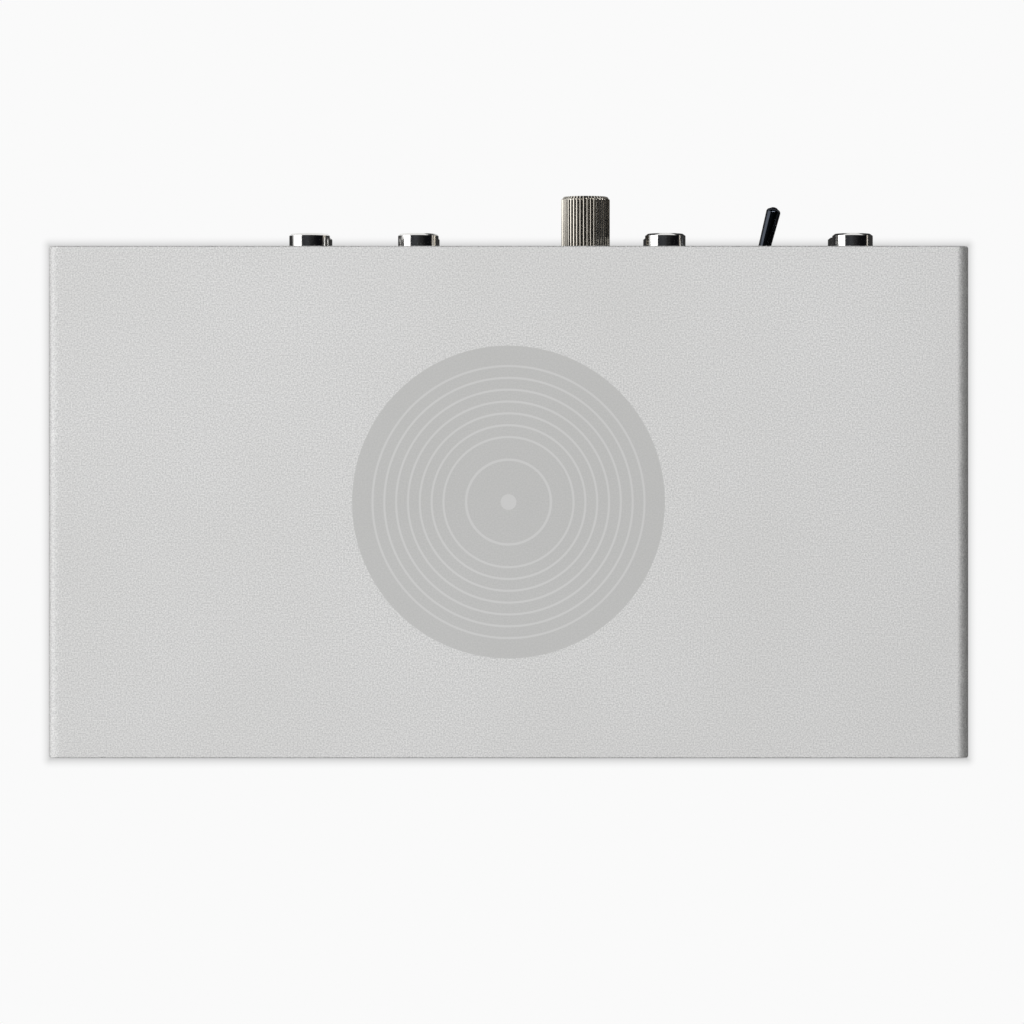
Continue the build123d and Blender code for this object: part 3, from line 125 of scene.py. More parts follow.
lens = bpy.data.cameras.new("top_camera")
lens.sensor_width = SENSOR_MM
lens.lens = SENSOR_MM * CAMERA_ABOVE_COVER / FRAME_WIDTH
camera = linked("top_camera", lens)
camera.location = (*(CASE_MIDDLE.xy + AXIS_OFFSET), COVER_HIGH.z + CAMERA_ABOVE_COVER)
bpy.context.scene.camera = camera
print("lens in mm:", round(lens.lens, 1))

# %% [markdown]
# ## Node trees written as sums
#
# A graph of nodes is hard to read as a list of links. Two small classes let the rest of this lesson
# write it as ordinary sums. `Value` is one output of a node: adding or multiplying values adds Math
# nodes. `Tree` adds any other node from its type, its settings, and the values or links of its sockets.

# %% Values and trees


def operator(operation, swapped=False):
    """A method of Value that adds one Math node."""

    def method(*values):
        return values[0].tree.maths(operation, *(reversed(values) if swapped else values))

    return method


class Value:
    """One output of a node. Sums written with it add Math nodes to its tree."""

    def __init__(self, tree, socket):
        self.tree = tree
        self.socket = socket

    __add__ = __radd__ = operator("ADD")
    __mul__ = __rmul__ = operator("MULTIPLY")
    __sub__, __rsub__ = operator("SUBTRACT"), operator("SUBTRACT", swapped=True)
    __truediv__, __mod__, __pow__ = operator("DIVIDE"), operator("FLOORED_MODULO"), operator("POWER")
    __gt__, __lt__, __abs__ = operator("GREATER_THAN"), operator("LESS_THAN"), operator("ABSOLUTE")


def rgba(tone):
    """A grey or a colour with its alpha, or a link as it is."""
    if isinstance(tone, Value):
        return tone
    return (*tone, 1.0) if isinstance(tone, tuple) else (tone, tone, tone, 1.0)


class Tree:
    """A node tree that grows one node at a time."""

    def __init__(self, tree):
        self.tree = tree

    def node(self, kind, settings=None, inputs=None, out=0):
        """Adds a node: first its settings, then the values or links of its inputs."""
        node = self.tree.nodes.new(kind)
        for name, value in (settings or {}).items():
            setattr(node, name, value)
        for key, value in (inputs or {}).items():
            self.feed(node.inputs[key], value)
        return Value(self, node.outputs[out])

    def feed(self, socket, value):
        """Links a value to a socket, or sets the socket to a plain number, vector or colour."""
        if isinstance(value, Value):
            self.tree.links.new(value.socket, socket)
        else:
            socket.default_value = value

    def maths(self, operation, *values):
        """One Math node."""
        return self.node("ShaderNodeMath", {"operation": operation}, dict(enumerate(values)))

    def larger(self, first, second):
        """The larger of two numbers."""
        return self.maths("MAXIMUM", first, second)

    def split(self, vector):
        """The x, y and z of a vector."""
        first = self.node("ShaderNodeSeparateXYZ", inputs={0: vector})
        return [Value(self, output) for output in first.socket.node.outputs]

    def ramp(self, value, *stops):
        """A value through a colour ramp of (position, grey or colour) stops."""
        ramp = self.node("ShaderNodeValToRGB", inputs={0: value})
        elements = ramp.socket.node.color_ramp.elements
        while len(elements) < len(stops):
            elements.new(1.0)
        for element, (position, tone) in zip(elements, stops):
            element.position = position
            element.color = rgba(tone)
        return ramp

    def between(self, first, second, share, blend="MIX"):
        """A colour between two others, or with another blend."""
        settings = {"data_type": "RGBA", "blend_type": blend}
        return self.node("ShaderNodeMix", settings, {0: share, 6: rgba(first), 7: rgba(second)}, out=2)


print("a sum such as 1 - mask adds one Math node")

# %% [markdown]
# ## Turned pieces with Geometry Nodes
#
# Sockets, nuts, feet and the lever are all turned on a lathe, and most of them repeat. One tree does
# both jobs. It spins an outline, cuts grooves where the outline asks for them, and puts a copy at each
# place. An outline is a line of points whose x is the radius, whose y is the distance along the axis,
# and whose z says how deep the grooves cut there, from 0 to 1. Grooves that only count round the axis
# make a knurl, and grooves that also count along it make a screw thread. Each groove is one wave, and
# a higher narrowness leaves wider flats between the cuts.

# %% A tree with named inputs


class ShapeTree(Tree):
    """A Geometry Nodes tree with named inputs and one geometry output."""

    def __init__(self, name, inputs):
        super().__init__(bpy.data.node_groups.new(name, "GeometryNodeTree"))
        for label, kind in {"Geometry": "Geometry", **inputs}.items():
            self.tree.interface.new_socket(label, in_out="INPUT", socket_type="NodeSocket" + kind)
        self.tree.interface.new_socket("Geometry", in_out="OUTPUT", socket_type="NodeSocketGeometry")
        self.given = self.tree.nodes.new("NodeGroupInput")

    def get(self, label):
        """A named input of the tree."""
        return Value(self, self.given.outputs[label])

    def finish(self, geometry):
        """Ends the tree: real geometry, smooth faces between sharp edges, and the finish."""
        real = self.node("GeometryNodeRealizeInstances", inputs={"Geometry": geometry})
        smooth = self.node("GeometryNodeSetShadeSmooth", inputs={"Geometry": real})
        angle = self.node("GeometryNodeInputMeshEdgeAngle")
        sharp = self.node(
            "GeometryNodeStoreNamedAttribute", {"data_type": "BOOLEAN", "domain": "EDGE"},
            {"Geometry": smooth, "Name": "sharp_edge", "Value": angle > radians(SHARP_ANGLE)},
        )
        look = {"Geometry": sharp, "Material": self.get("Finish")}
        finished = self.node("GeometryNodeSetMaterial", inputs=look)
        self.feed(self.tree.nodes.new("NodeGroupOutput").inputs[0], finished)
        return self.tree


SHARP_ANGLE = 38.0
MERGE_DISTANCE = 0.0005 * MM
print("edges that turn more than", SHARP_ANGLE, "degrees stay sharp")

# %% The lathe


def lathe_tree():
    """Spins an outline, cuts its grooves, and copies it to each point with that point's turn."""
    inputs = {
        "Outline": "Object", "Facets": "Int", "Grooves round": "Float", "Grooves per metre": "Float",
        "Groove depth": "Float", "Groove narrowness": "Float", "Finish": "Material",
    }
    tree = ShapeTree("lathe", inputs)
    outline = tree.node("GeometryNodeObjectInfo", inputs={"Object": tree.get("Outline")}, out="Geometry")
    count = tree.node("GeometryNodeAttributeDomainSize", inputs={"Geometry": outline}, out="Point Count")
    grid_size = {"Vertices X": tree.get("Facets") + 1.0, "Vertices Y": count}
    grid = tree.node("GeometryNodeMeshGrid", inputs=grid_size)
    index = tree.node("GeometryNodeInputIndex")
    step = index % count
    turn = (index - step) / count / tree.get("Facets")
    point = tree.node(
        "GeometryNodeSampleIndex", {"data_type": "FLOAT_VECTOR"},
        {"Geometry": outline, "Value": tree.node("GeometryNodeInputPosition"), "Index": step},
    )
    radius, along, share = tree.split(point)
    phase = turn * tree.get("Grooves round") + along * tree.get("Grooves per metre")
    wave = 0.5 - tree.maths("COSINE", phase * (2 * pi)) * 0.5
    cut = wave ** tree.get("Groove narrowness") * share * tree.get("Groove depth")
    angle = turn * (2 * pi)
    x, z = [(radius - cut) * tree.maths(axis, angle) for axis in ("COSINE", "SINE")]
    place = tree.node("ShaderNodeCombineXYZ", inputs={"X": x, "Y": along, "Z": z})
    spun = tree.node("GeometryNodeSetPosition", inputs={"Geometry": grid, "Position": place})
    weld = {"Geometry": spun, "Distance": MERGE_DISTANCE}
    closed = tree.node("GeometryNodeMergeByDistance", inputs=weld)
    stored = tree.node("GeometryNodeInputNamedAttribute", {"data_type": "FLOAT_VECTOR"}, {"Name": "turn"})
    rotation = tree.node("FunctionNodeEulerToRotation", inputs={0: stored})
    copies = tree.node(
        "GeometryNodeInstanceOnPoints",
        inputs={"Points": tree.get("Geometry"), "Instance": closed, "Rotation": rotation},
    )
    return tree.finish(copies)


LATHE = lathe_tree()
print("lathe tree nodes:", len(LATHE.nodes))

# %% [markdown]
# ## From a tree to a finished mesh
#
# A modifier's inputs are set by each socket's identifier before the object is first evaluated. The
# evaluated mesh then becomes a plain mesh, and the object that carried the modifier is thrown away.
# A mesh that came out inside out is flipped, which its signed volume shows. Smooth shading bends
# near the end of a long straight stretch, so two extra points close to its ends hold it straight.

# %% Helpers that make pieces


def mesh_of_points(name, points, edges=(), faces=()):
    """A mesh of loose points, or of points joined by edges or faces."""
    mesh = bpy.data.meshes.new(name)
    mesh.from_pydata(points, edges, faces)
    return mesh


def points_outward(mesh):
    """Turns a closed mesh the right way out, by the sign of its volume."""
    work = bmesh.new()
    work.from_mesh(mesh)
    if work.calc_volume(signed=True) < 0:
        bmesh.ops.reverse_faces(work, faces=work.faces)
        work.to_mesh(mesh)
    work.free()


def grown(name, mesh, tree, settings):
    """A piece grown by a Geometry Nodes tree from a starting mesh."""
    carrier = linked(name + "_carrier", mesh)
    modifier = carrier.modifiers.new("grow", "NODES")
    modifier.node_group = tree
    for item in tree.interface.items_tree:
        if item.in_out == "INPUT" and item.name in settings:
            modifier[item.identifier] = settings[item.name]
    evaluated = carrier.evaluated_get(bpy.context.evaluated_depsgraph_get())
    result = bpy.data.meshes.new_from_object(evaluated)
    result.name = name
    bpy.data.objects.remove(carrier)
    points_outward(result)
    return linked(name, result)


# %% Helpers for turned pieces
NO_TURN = (0.0, 0.0, 0.0)
NO_GROOVES = (0.0, 0.0, 0.0, 1.0)
LONG_STRETCH = 0.8
SUPPORT = 0.06


def supported(outline):
    """Adds a point near each end of a long stretch, so that its shading stays straight."""
    points = [outline[0]]
    for start, end in zip(outline, outline[1:]):
        length = ((end[0] - start[0]) ** 2 + (end[1] - start[1]) ** 2) ** 0.5
        if length > LONG_STRETCH:
            for share in (SUPPORT / length, 1 - SUPPORT / length):
                points.append(tuple(a + (b - a) * share for a, b in zip(start, end)))
        points.append(end)
    return points


def fitted(piece, nodes, body="chassis"):
    """Makes a piece ride its body and stand for its solids."""
    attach(piece, body)
    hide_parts(*nodes)


def turned(
    name, slot, nodes, outline, places, facets=64, body="chassis", finish=None, turns=(NO_TURN,),
    grooves=NO_GROOVES,
):
    """A lathe piece: an outline in millimetres, copied to places with their turns. It stands for its
    solids, if it has any, and has its slot's finish unless another is named."""
    outline = [(*point, 0.0)[:3] for point in outline]
    if outline[0][0] > MERGE_DISTANCE / MM:
        outline.append(outline[0])
    points = [(x * MM, y * MM, share) for x, y, share in supported(outline)]
    line = mesh_of_points(name + "_outline", points, [(i, i + 1) for i in range(len(points) - 1)])
    outline_object = linked(name + "_outline", line)
    spots = mesh_of_points(name + "_places", places)
    turn = spots.attributes.new("turn", "FLOAT_VECTOR", "POINT")
    for spot, value in zip(turn.data, list(turns) * len(places)):
        spot.vector = value
    rounds, per_metre, depth, narrowness = grooves
    piece = grown(name, spots, LATHE, {
        "Outline": outline_object, "Facets": facets, "Grooves round": rounds,
        "Grooves per metre": per_metre, "Groove depth": depth * MM, "Groove narrowness": narrowness,
        "Finish": FINISHES[finish or slot],
    })
    bpy.data.objects.remove(outline_object)
    print(name, "triangles:", sum(len(face.vertices) - 2 for face in piece.data.polygons))
    if nodes:
        fitted(piece, nodes, body)
    return piece


print("points on a supported 10 mm stretch:", len(supported([(0, 0, 0), (10, 0, 0)])))

# %% [markdown]
# ## Outlines
#
# An outline is a list of points, in millimetres, with a third number where grooves cut. A round corner
# is a short arc, and an outline that doesn't start on the axis is closed. Small radii on every outer
# edge matter more than they seem to: they catch the light, and without them metal looks like paper.

# %% Arcs and threads
THREAD_STEPS = 8


def arc(centre, radius, start, end, steps=6):
    """Points on an arc of the outline, from one angle to another in degrees."""
    angles = [radians(start + (end - start) * step / steps) for step in range(steps + 1)]
    return [(centre[0] + radius * cos(a), centre[1] + radius * sin(a)) for a in angles]


def thread(radius, low, high, pitch):
    """Points along a thread, close enough together to follow its grooves."""
    steps = int((high - low) / (pitch / MM / THREAD_STEPS))
    return [(radius, low + (high - low) * step / steps, 1.0) for step in range(steps + 1)]


print("an arc of 6 steps has", len(arc((0, 0), 1, 0, 90)), "points")

# %% [markdown]
# ## Finishes
#
# A real surface is never one flat colour. Each finish below starts from one Principled shader and adds
# what the eye expects at its true scale: the grain of blasted metal, the pebbles of powder coat, the
# fine turning marks of plated brass. Patterns read Object coordinates in metres, so a scale of 3400
# sets the lumps about 0.3 mm apart.

# %% A finish


class Finish(Tree):
    """A material with one Principled shader, whose patterns read Object coordinates."""

    def __init__(self, name, color, roughness, metallic=0.0):
        self.material = bpy.data.materials.new(name)
        self.material.use_nodes = True
        super().__init__(self.material.node_tree)
        self.tree.nodes.clear()
        self.shader = self.tree.nodes.new("ShaderNodeBsdfPrincipled")
        self.output = self.tree.nodes.new("ShaderNodeOutputMaterial")
        self.tree.links.new(self.shader.outputs[0], self.output.inputs["Surface"])
        self.place = self.node("ShaderNodeTexCoord", out="Object")
        self.set("Base Color", rgba(color))
        self.set("Roughness", roughness)
        self.set("Metallic", metallic)

    def set(self, socket, value):
        """Sets or links one of the shader's sockets."""
        self.feed(self.shader.inputs[socket], value)

    def noise(self, scale, detail=2.0, stretch=(1.0, 1.0, 1.0)):
        """Cloudy noise, about 0 to 1, with this many lumps to the metre."""
        place = self.node("ShaderNodeVectorMath", {"operation": "MULTIPLY"}, {0: self.place, 1: stretch})
        return self.node("ShaderNodeTexNoise", inputs={"Vector": place, "Scale": scale, "Detail": detail})

    def tinted(self, first, second, share):
        """Sets the base colour between two colours."""
        self.set("Base Color", self.between(first, second, share))

    def done(self, roughness, height, depth, strength):
        """Sets the roughness and a relief so many millimetres deep, and gives the material."""
        self.set("Roughness", roughness)
        bump = {"Height": height, "Distance": depth * MM, "Strength": strength}
        self.set("Normal", self.node("ShaderNodeBump", inputs=bump))
        return self.material


print("every finish starts from one Principled shader")

# %% [markdown]
# ### Blasted and anodised aluminium
#
# Glass beads dent the sheet all over before it is anodised, so it scatters light softly and glitters
# at close range. Fine noise moves the colour, the roughness and the surface together, as dents do. The
# round print is a thin film of grey ink that fills the dents, so it is a little darker and smoother. It
# carries only plain rings, like the grooves of a record.

# %% Blasted aluminium
PRINT_RADIUS = 31.8 * MM
PRINT_EDGE = 0.12 * MM
PRINT_RING_PITCH = 2.4 * MM
PRINT_LABEL_RADIUS = 11.0 * MM
PRINT_LABEL_LINE = 0.25 * MM
PRINT_HOLE_RADIUS = 1.6 * MM
PRINT_RING_SHARE = 0.09
PRINT_FACE_ONLY = 0.2 * MM
GRAIN_SCALE = 3400.0
CLOUD_SCALE = 18.0
ALUMINIUM_DARK, ALUMINIUM_BRIGHT = (0.475, 0.475, 0.478), (0.785, 0.785, 0.78)
ALUMINIUM_WORN = (0.625, 0.62, 0.60)
INK_SHADE = (0.835, 0.835, 0.83)
RING_TONE = (0.66, 0.66, 0.655)


def blasted_aluminium():
    """Blasted, clear-anodised sheet with a round grey print on its upper face."""
    finish = Finish("blasted_aluminium", (0.62, 0.62, 0.615), 0.56, 1.0)
    x, y, z = finish.split(finish.place)
    across = x - CASE_MIDDLE.x
    deep = y - CASE_MIDDLE.y
    radius = (across * across + deep * deep) ** 0.5
    on_top = z > COVER_HIGH.z - PRINT_FACE_ONLY
    inside = finish.maths("SMOOTH_MIN", (PRINT_RADIUS - radius) / PRINT_EDGE, 1.0, 0.0)
    ink = finish.larger(inside, 0.0) * on_top
    ring = abs((radius / PRINT_RING_PITCH) % 1.0 - 0.5) < PRINT_RING_SHARE
    groove = ring * (radius > PRINT_LABEL_RADIUS) * (radius < PRINT_RADIUS - PRINT_RING_PITCH)
    label = abs(radius - PRINT_LABEL_RADIUS + PRINT_RING_PITCH) < PRINT_LABEL_LINE
    motif = finish.larger(groove, finish.larger(label, radius < PRINT_HOLE_RADIUS)) * ink

    grain = finish.noise(GRAIN_SCALE, 3.0)
    cloud = finish.noise(CLOUD_SCALE, 3.0)
    dents = (grain - 0.5) * (1.0 - ink * 0.65)
    metal = finish.between(ALUMINIUM_DARK, ALUMINIUM_BRIGHT, dents * 3.0 + 0.5)
    worn = finish.between(metal, ALUMINIUM_WORN, cloud * 0.4)
    printed = finish.between(worn, INK_SHADE, ink, "MULTIPLY")
    finish.tinted(printed, RING_TONE, motif * 0.5)
    roughness = 0.68 + (grain - 0.5) * 0.2 + (cloud - 0.5) * 0.06
    return finish.done(roughness, grain * (1.0 - ink * 0.8), 0.015, 0.6)


print("print across in mm:", round(2 * PRINT_RADIUS / MM, 1))

# %% [markdown]
# ### Other metals
#
# Powder coat is paint with the skin of an orange. Bright nickel shows faint turning marks, satin nickel
# is a little yellow and duller, zinc is a patchwork of dull crystals, and black chrome is a dark mirror.
# Gold and spring steel are plain plated or drawn metal with fine scratches.

# %% Metals


def powder_coat():
    """Black satin powder coat: fine pebbles over slow waves."""
    finish = Finish("black_powder_coat", (0.03, 0.03, 0.032), 0.42)
    finish.set("Specular IOR Level", 0.45)
    pebbles = finish.noise(1500.0)
    waves = finish.noise(420.0, 1.0)
    finish.tinted((0.022, 0.022, 0.024), (0.042, 0.042, 0.045), pebbles)
    return finish.done(0.36 + pebbles * 0.16, pebbles * 0.6 + waves * 0.4, 0.05, 0.6)


def plated(name, dark, bright, roughness, marks, depth, stretch=(1.0, 1.0, 1.0)):
    """Plated metal whose fine marks move its colour, roughness and surface."""
    finish = Finish(name, bright, roughness, 1.0)
    lines = finish.noise(marks, 3.0, stretch)
    haze = finish.noise(120.0)
    finish.tinted(dark, bright, lines * 0.5 + haze * 0.5)
    return finish.done(roughness * 0.7 + roughness * (lines * 0.35 + haze * 0.3), lines, depth, 0.4)


def zinc():
    """Zinc plate with dull crystals."""
    finish = Finish("zinc_plate", (0.55, 0.55, 0.53), 0.38, 1.0)
    crystals = finish.node("ShaderNodeTexVoronoi", inputs={"Vector": finish.place, "Scale": 900.0})
    finish.tinted((0.46, 0.46, 0.45), (0.64, 0.64, 0.61), crystals)
    return finish.done(0.3 + crystals * 0.2, crystals, 0.01, 0.5)


def black_oxide():
    """Oil-blackened steel, a little brown where it is thin."""
    finish = Finish("black_oxide", (0.03, 0.029, 0.028), 0.4, 0.7)
    film = finish.noise(1400.0, 3.0)
    finish.tinted((0.018, 0.017, 0.017), (0.06, 0.055, 0.05), film)
    return finish.done(0.3 + film * 0.2, film, 0.008, 0.5)


print("kinds of metal surface:", len((powder_coat, plated, zinc, black_oxide)))

# %% [markdown]
# ### Plastics, rubber and the board
#
# Moulded plastic keeps the fine texture of its mould, shiny insulators show only slight ripples, and
# rubber is dull with a dusty bloom. The circuit board is green lacquer over copper tracks, which show
# as lighter, slightly raised bands.

# %% Plastics and rubber


def moulded(name, dark, light, roughness, scale, depth, coat=0.0):
    """Moulded plastic: its texture moves colour, gloss and surface."""
    finish = Finish(name, light, roughness)
    finish.set("Coat Weight", coat)
    texture = finish.noise(scale)
    clouds = finish.noise(scale / 12)
    finish.tinted(dark, light, texture * 0.6 + clouds * 0.4)
    return finish.done(roughness - 0.08 + texture * 0.16, texture, depth, 0.6)


def rubber():
    """Dull black rubber with a dusty bloom."""
    finish = Finish("foot_rubber", (0.02, 0.02, 0.021), 0.85)
    finish.set("Sheen Weight", 0.15)
    skin = finish.noise(2200.0, 3.0)
    bloom = finish.noise(160.0, 3.0)
    finish.tinted((0.012, 0.012, 0.013), (0.042, 0.041, 0.04), skin * 0.4 + bloom * 0.6)
    return finish.done(0.78 + skin * 0.18, skin, 0.03, 0.7)


TRACK_PITCH = 2.54 * MM
TRACK_SHARE = 0.2
TRACK_BREAKS = 0.46


def board_lacquer():
    """Green lacquer over copper tracks that run front to rear."""
    finish = Finish("green_board", (0.02, 0.09, 0.04), 0.3)
    x, _, _ = finish.split(finish.place)
    wander = finish.noise(70.0, 1.0)
    lane = abs((x / TRACK_PITCH + wander * 3.0) % 1.0 - 0.5) < TRACK_SHARE
    track = lane * (finish.noise(45.0, 1.0) > TRACK_BREAKS)
    speckle = finish.noise(3000.0)
    finish.tinted((0.012, 0.07, 0.03), (0.03, 0.15, 0.06), track * 0.75 + speckle * 0.25)
    return finish.done(0.26 + speckle * 0.1, track, 0.035, 0.8)


def lens_epoxy():
    """Clear, slightly milky epoxy over an unlit lamp."""
    finish = Finish("lamp_epoxy", (0.75, 0.77, 0.8), 0.12)
    finish.set("Coat Weight", 0.6)
    finish.set("IOR", 1.55)
    swirl = finish.noise(900.0)
    finish.tinted((0.66, 0.69, 0.74), (0.86, 0.87, 0.88), swirl)
    finish.set("Roughness", 0.1 + swirl * 0.08)
    return finish.material


print("copper tracks every", TRACK_PITCH / MM, "mm")

# %% [markdown]
# ### Small parts on the board
#
# They are hidden by the cover, but the model can be opened, so each still gets its own finish. The
# resistors lie front to rear in one row, so their colour bands are a ramp along y. Capacitor cans have
# a printed sleeve below a bare aluminium lid, split by height.

# %% Board part finishes
BAND_TONES = {
    0.18: (0.30, 0.14, 0.03), 0.34: (0.02, 0.02, 0.02), 0.50: (0.45, 0.03, 0.02),
    0.66: (0.05, 0.02, 0.01), 0.86: (0.25, 0.12, 0.04),
}
BAND_HALF_WIDTH = 0.035
BODY_BLUE = (0.30, 0.50, 0.58)
LEAD_LENGTH = 1.45 * MM
LID_DEPTH = 0.35 * MM


def banded_resistor():
    """Pale blue lacquer with colour bands, and tinned leads beyond the body."""
    finish = Finish("banded_lacquer", BODY_BLUE, 0.3)
    finish.set("Coat Weight", 0.3)
    low, high = bottom("resistors"), top("resistors")
    _, y, _ = finish.split(finish.place)
    share = (y - (low.y + LEAD_LENGTH)) / (high.y - low.y - 2 * LEAD_LENGTH)
    stops = [(0.0, BODY_BLUE)]
    for centre, tone in BAND_TONES.items():
        stops += [(centre - BAND_HALF_WIDTH, tone), (centre + BAND_HALF_WIDTH, BODY_BLUE)]
    ramp = finish.ramp(share, *stops)
    ramp.socket.node.color_ramp.interpolation = "CONSTANT"
    on_body = (share > 0.0) * (share < 1.0)
    mottle = finish.noise(1500.0)
    body = finish.between(ramp, (0.2, 0.3, 0.35), mottle * 0.2)
    finish.tinted((0.6, 0.6, 0.58), body, on_body)
    finish.set("Metallic", 1.0 - on_body)
    finish.set("Roughness", 0.24 + mottle * 0.12)
    return finish.material


def capacitor_sleeve():
    """Dark blue shrink sleeve round the can, and a bare lid."""
    finish = Finish("shrink_sleeve", (0.02, 0.03, 0.07), 0.28)
    _, _, z = finish.split(finish.place)
    small_lid = abs(z - top("signal_capacitors").z) < LID_DEPTH
    tall_lid = z > top("reservoir_capacitors").z - LID_DEPTH
    lid = finish.larger(small_lid, tall_lid)
    wrap = finish.noise(400.0, 3.0)
    seam = ((z - top("circuit_board").z) / MM % 1.0) * 0.1
    sleeve = finish.between((0.015, 0.022, 0.055), (0.03, 0.045, 0.1), wrap + seam)
    finish.tinted(sleeve, (0.72, 0.72, 0.72), lid)
    finish.set("Metallic", lid)
    return finish.done(0.24 + wrap * 0.14, wrap, 0.02, 0.3)


print("colour bands on a resistor:", len(BAND_TONES))

# %% Every finish by its slot
# Each row says what plated or moulded takes: tones, roughness, texture scale, relief and the rest.
ALONG_Y = (1.0, 0.04, 1.0)
PLATED = {
    "nickel_plate": ("bright_nickel", (0.74, 0.735, 0.72), (0.88, 0.87, 0.85), 0.11, 2600.0, 0.003),
    "satin_nickel": ("satin_nickel", (0.58, 0.545, 0.48), (0.78, 0.735, 0.65), 0.13, 3200.0, 0.002),
    "contact_gold": ("gold_flash", (0.72, 0.52, 0.2), (0.86, 0.66, 0.3), 0.2, 2200.0, 0.003),
    "black_chrome": ("black_chrome", (0.026, 0.030, 0.038), (0.050, 0.056, 0.068), 0.12, 2600.0, 0.004),
    "heat_sink_black": (
        "black_anodised", (0.035, 0.035, 0.037), (0.06, 0.06, 0.063), 0.45, 1800.0, 0.01, ALONG_Y,
    ),
    "spring_steel": ("spring_steel", (0.5, 0.5, 0.5), (0.66, 0.66, 0.65), 0.25, 3000.0, 0.004),
}
MOULDED = {
    "black_moulding": ((0.016, 0.016, 0.017), (0.032, 0.032, 0.034), 0.5, 2600.0, 0.03),
    "red_plastic": ((0.42, 0.012, 0.012), (0.60, 0.025, 0.02), 0.3, 500.0, 0.01, 0.2),
    "white_plastic": ((0.70, 0.70, 0.67), (0.82, 0.82, 0.79), 0.3, 500.0, 0.01, 0.2),
    "green_insulation": ((0.03, 0.22, 0.06), (0.06, 0.34, 0.1), 0.4, 800.0, 0.01),
    "blue_insulation": ((0.03, 0.09, 0.32), (0.05, 0.14, 0.45), 0.4, 800.0, 0.01),
    "film_box": ((0.42, 0.05, 0.02), (0.6, 0.1, 0.04), 0.35, 900.0, 0.01),
    "epoxy_package": ((0.02, 0.02, 0.021), (0.04, 0.04, 0.042), 0.62, 3200.0, 0.02),
}
FINISHES = {
    "anodised_aluminium": blasted_aluminium(), "tray_steel": powder_coat(), "zinc_steel": zinc(),
    "black_screw_steel": black_oxide(), "foot_rubber": rubber(), "board_laminate": board_lacquer(),
    "capacitor_sleeve": capacitor_sleeve(), "resistor_coat": banded_resistor(), "led_lens": lens_epoxy(),
    **{slot: plated(*row) for slot, row in PLATED.items()},
    **{slot: moulded(slot, *row) for slot, row in MOULDED.items()},
}
for part in frame["record"]["subparts"]:
    for material_slot in NODES[part["node"]].material_slots:
        material_slot.material = FINISHES[part["material_slot"]]
print("finishes:", len(FINISHES))

# %% [markdown]
# ## The folded cover
#
# The cover is one strip of sheet with two bends: a small rounded rectangle, the sheet's own section,
# travels along a folded line. The line has four corners, Fillet Curve rounds the two bends, and Curve
# to Mesh carries the section along it. What breaks the rule comes last, with Booleans: a rounded column
# keeps only what lies inside it, which rounds the cover's four upright edges, and cutters take out the
# screws' countersinks.

# %% Folded sheet tree


def folded_sheet_tree():
    """Sweeps the sheet's section along a folded line of points."""
    inputs = {"Sheet": "Float", "Depth": "Float", "Bend": "Float", "Ease": "Float", "Finish": "Material"}
    tree = ShapeTree("folded_sheet", inputs)

    def rounded(curve, radius, steps):
        given = {"Curve": curve, "Count": steps, "Radius": tree.get(radius), "Limit Radius": True}
        return tree.node("GeometryNodeFilletCurve", {"mode": "POLY"}, given)

    line = tree.node("GeometryNodeMeshToCurve", inputs={"Mesh": tree.get("Geometry")})
    size = {"Width": tree.get("Sheet"), "Height": tree.get("Depth")}
    section = tree.node("GeometryNodeCurvePrimitiveQuadrilateral", inputs=size)
    folded, eased = rounded(line, "Bend", BEND_STEPS), rounded(section, "Ease", EASE_STEPS)
    sweep = {"Curve": folded, "Profile Curve": eased, "Fill Caps": True}
    return tree.finish(tree.node("GeometryNodeCurveToMesh", inputs=sweep))


BEND_STEPS = 10
EASE_STEPS = 3
SHEET = 1.5 * MM
OUTER_BEND = 2.5 * MM
SHEET_EASE = 0.32 * MM
FOLDED_SHEET = folded_sheet_tree()
print("folded sheet tree nodes:", len(FOLDED_SHEET.nodes))

# %% The sheet along its line


def swept(name, line, sheet, depth, bend, ease):
    """A piece of sheet along a line, with rounded bends and eased edges."""
    return grown(name, line, FOLDED_SHEET, {
        "Sheet": sheet, "Depth": depth, "Bend": bend, "Ease": ease,
        "Finish": FINISHES["anodised_aluminium"],
    })


left, right = COVER_LOW.x + SHEET / 2, COVER_HIGH.x - SHEET / 2
foot, head = COVER_LOW.z, COVER_HIGH.z - SHEET / 2
corners = [(x, CASE_MIDDLE.y, z) for x, z in ((left, foot), (left, head), (right, head), (right, foot))]
line = mesh_of_points("cover_line", corners, [(0, 1), (1, 2), (2, 3)])
cover = swept("folded_cover", line, SHEET, COVER_SIZE.y, OUTER_BEND - SHEET / 2, SHEET_EASE)
print("cover before the cuts, faces:", len(cover.data.polygons))

# %% Rounded corners
PLAN_CORNER = 0.7 * MM
PLAN_ROOM = 0.02 * MM


def applied(piece):
    """Turns a piece's modifiers into plain mesh."""
    evaluated = piece.evaluated_get(bpy.context.evaluated_depsgraph_get())
    mesh = bpy.data.meshes.new_from_object(evaluated)
    piece.modifiers.clear()
    piece.data = mesh


def cut(piece, cutter, operation="DIFFERENCE"):
    """Takes one mesh out of another, and lets the wide faces keep their own straight shading."""
    modifier = piece.modifiers.new("cut", "BOOLEAN")
    modifier.object = cutter
    modifier.operation = operation
    modifier.solver = "EXACT"
    applied(piece)
    bpy.data.objects.remove(cutter)
    piece.data.set_sharp_from_angle(angle=radians(SHARP_ANGLE))
    weighted = piece.modifiers.new("even", "WEIGHTED_NORMAL")
    weighted.keep_sharp = True
    applied(piece)


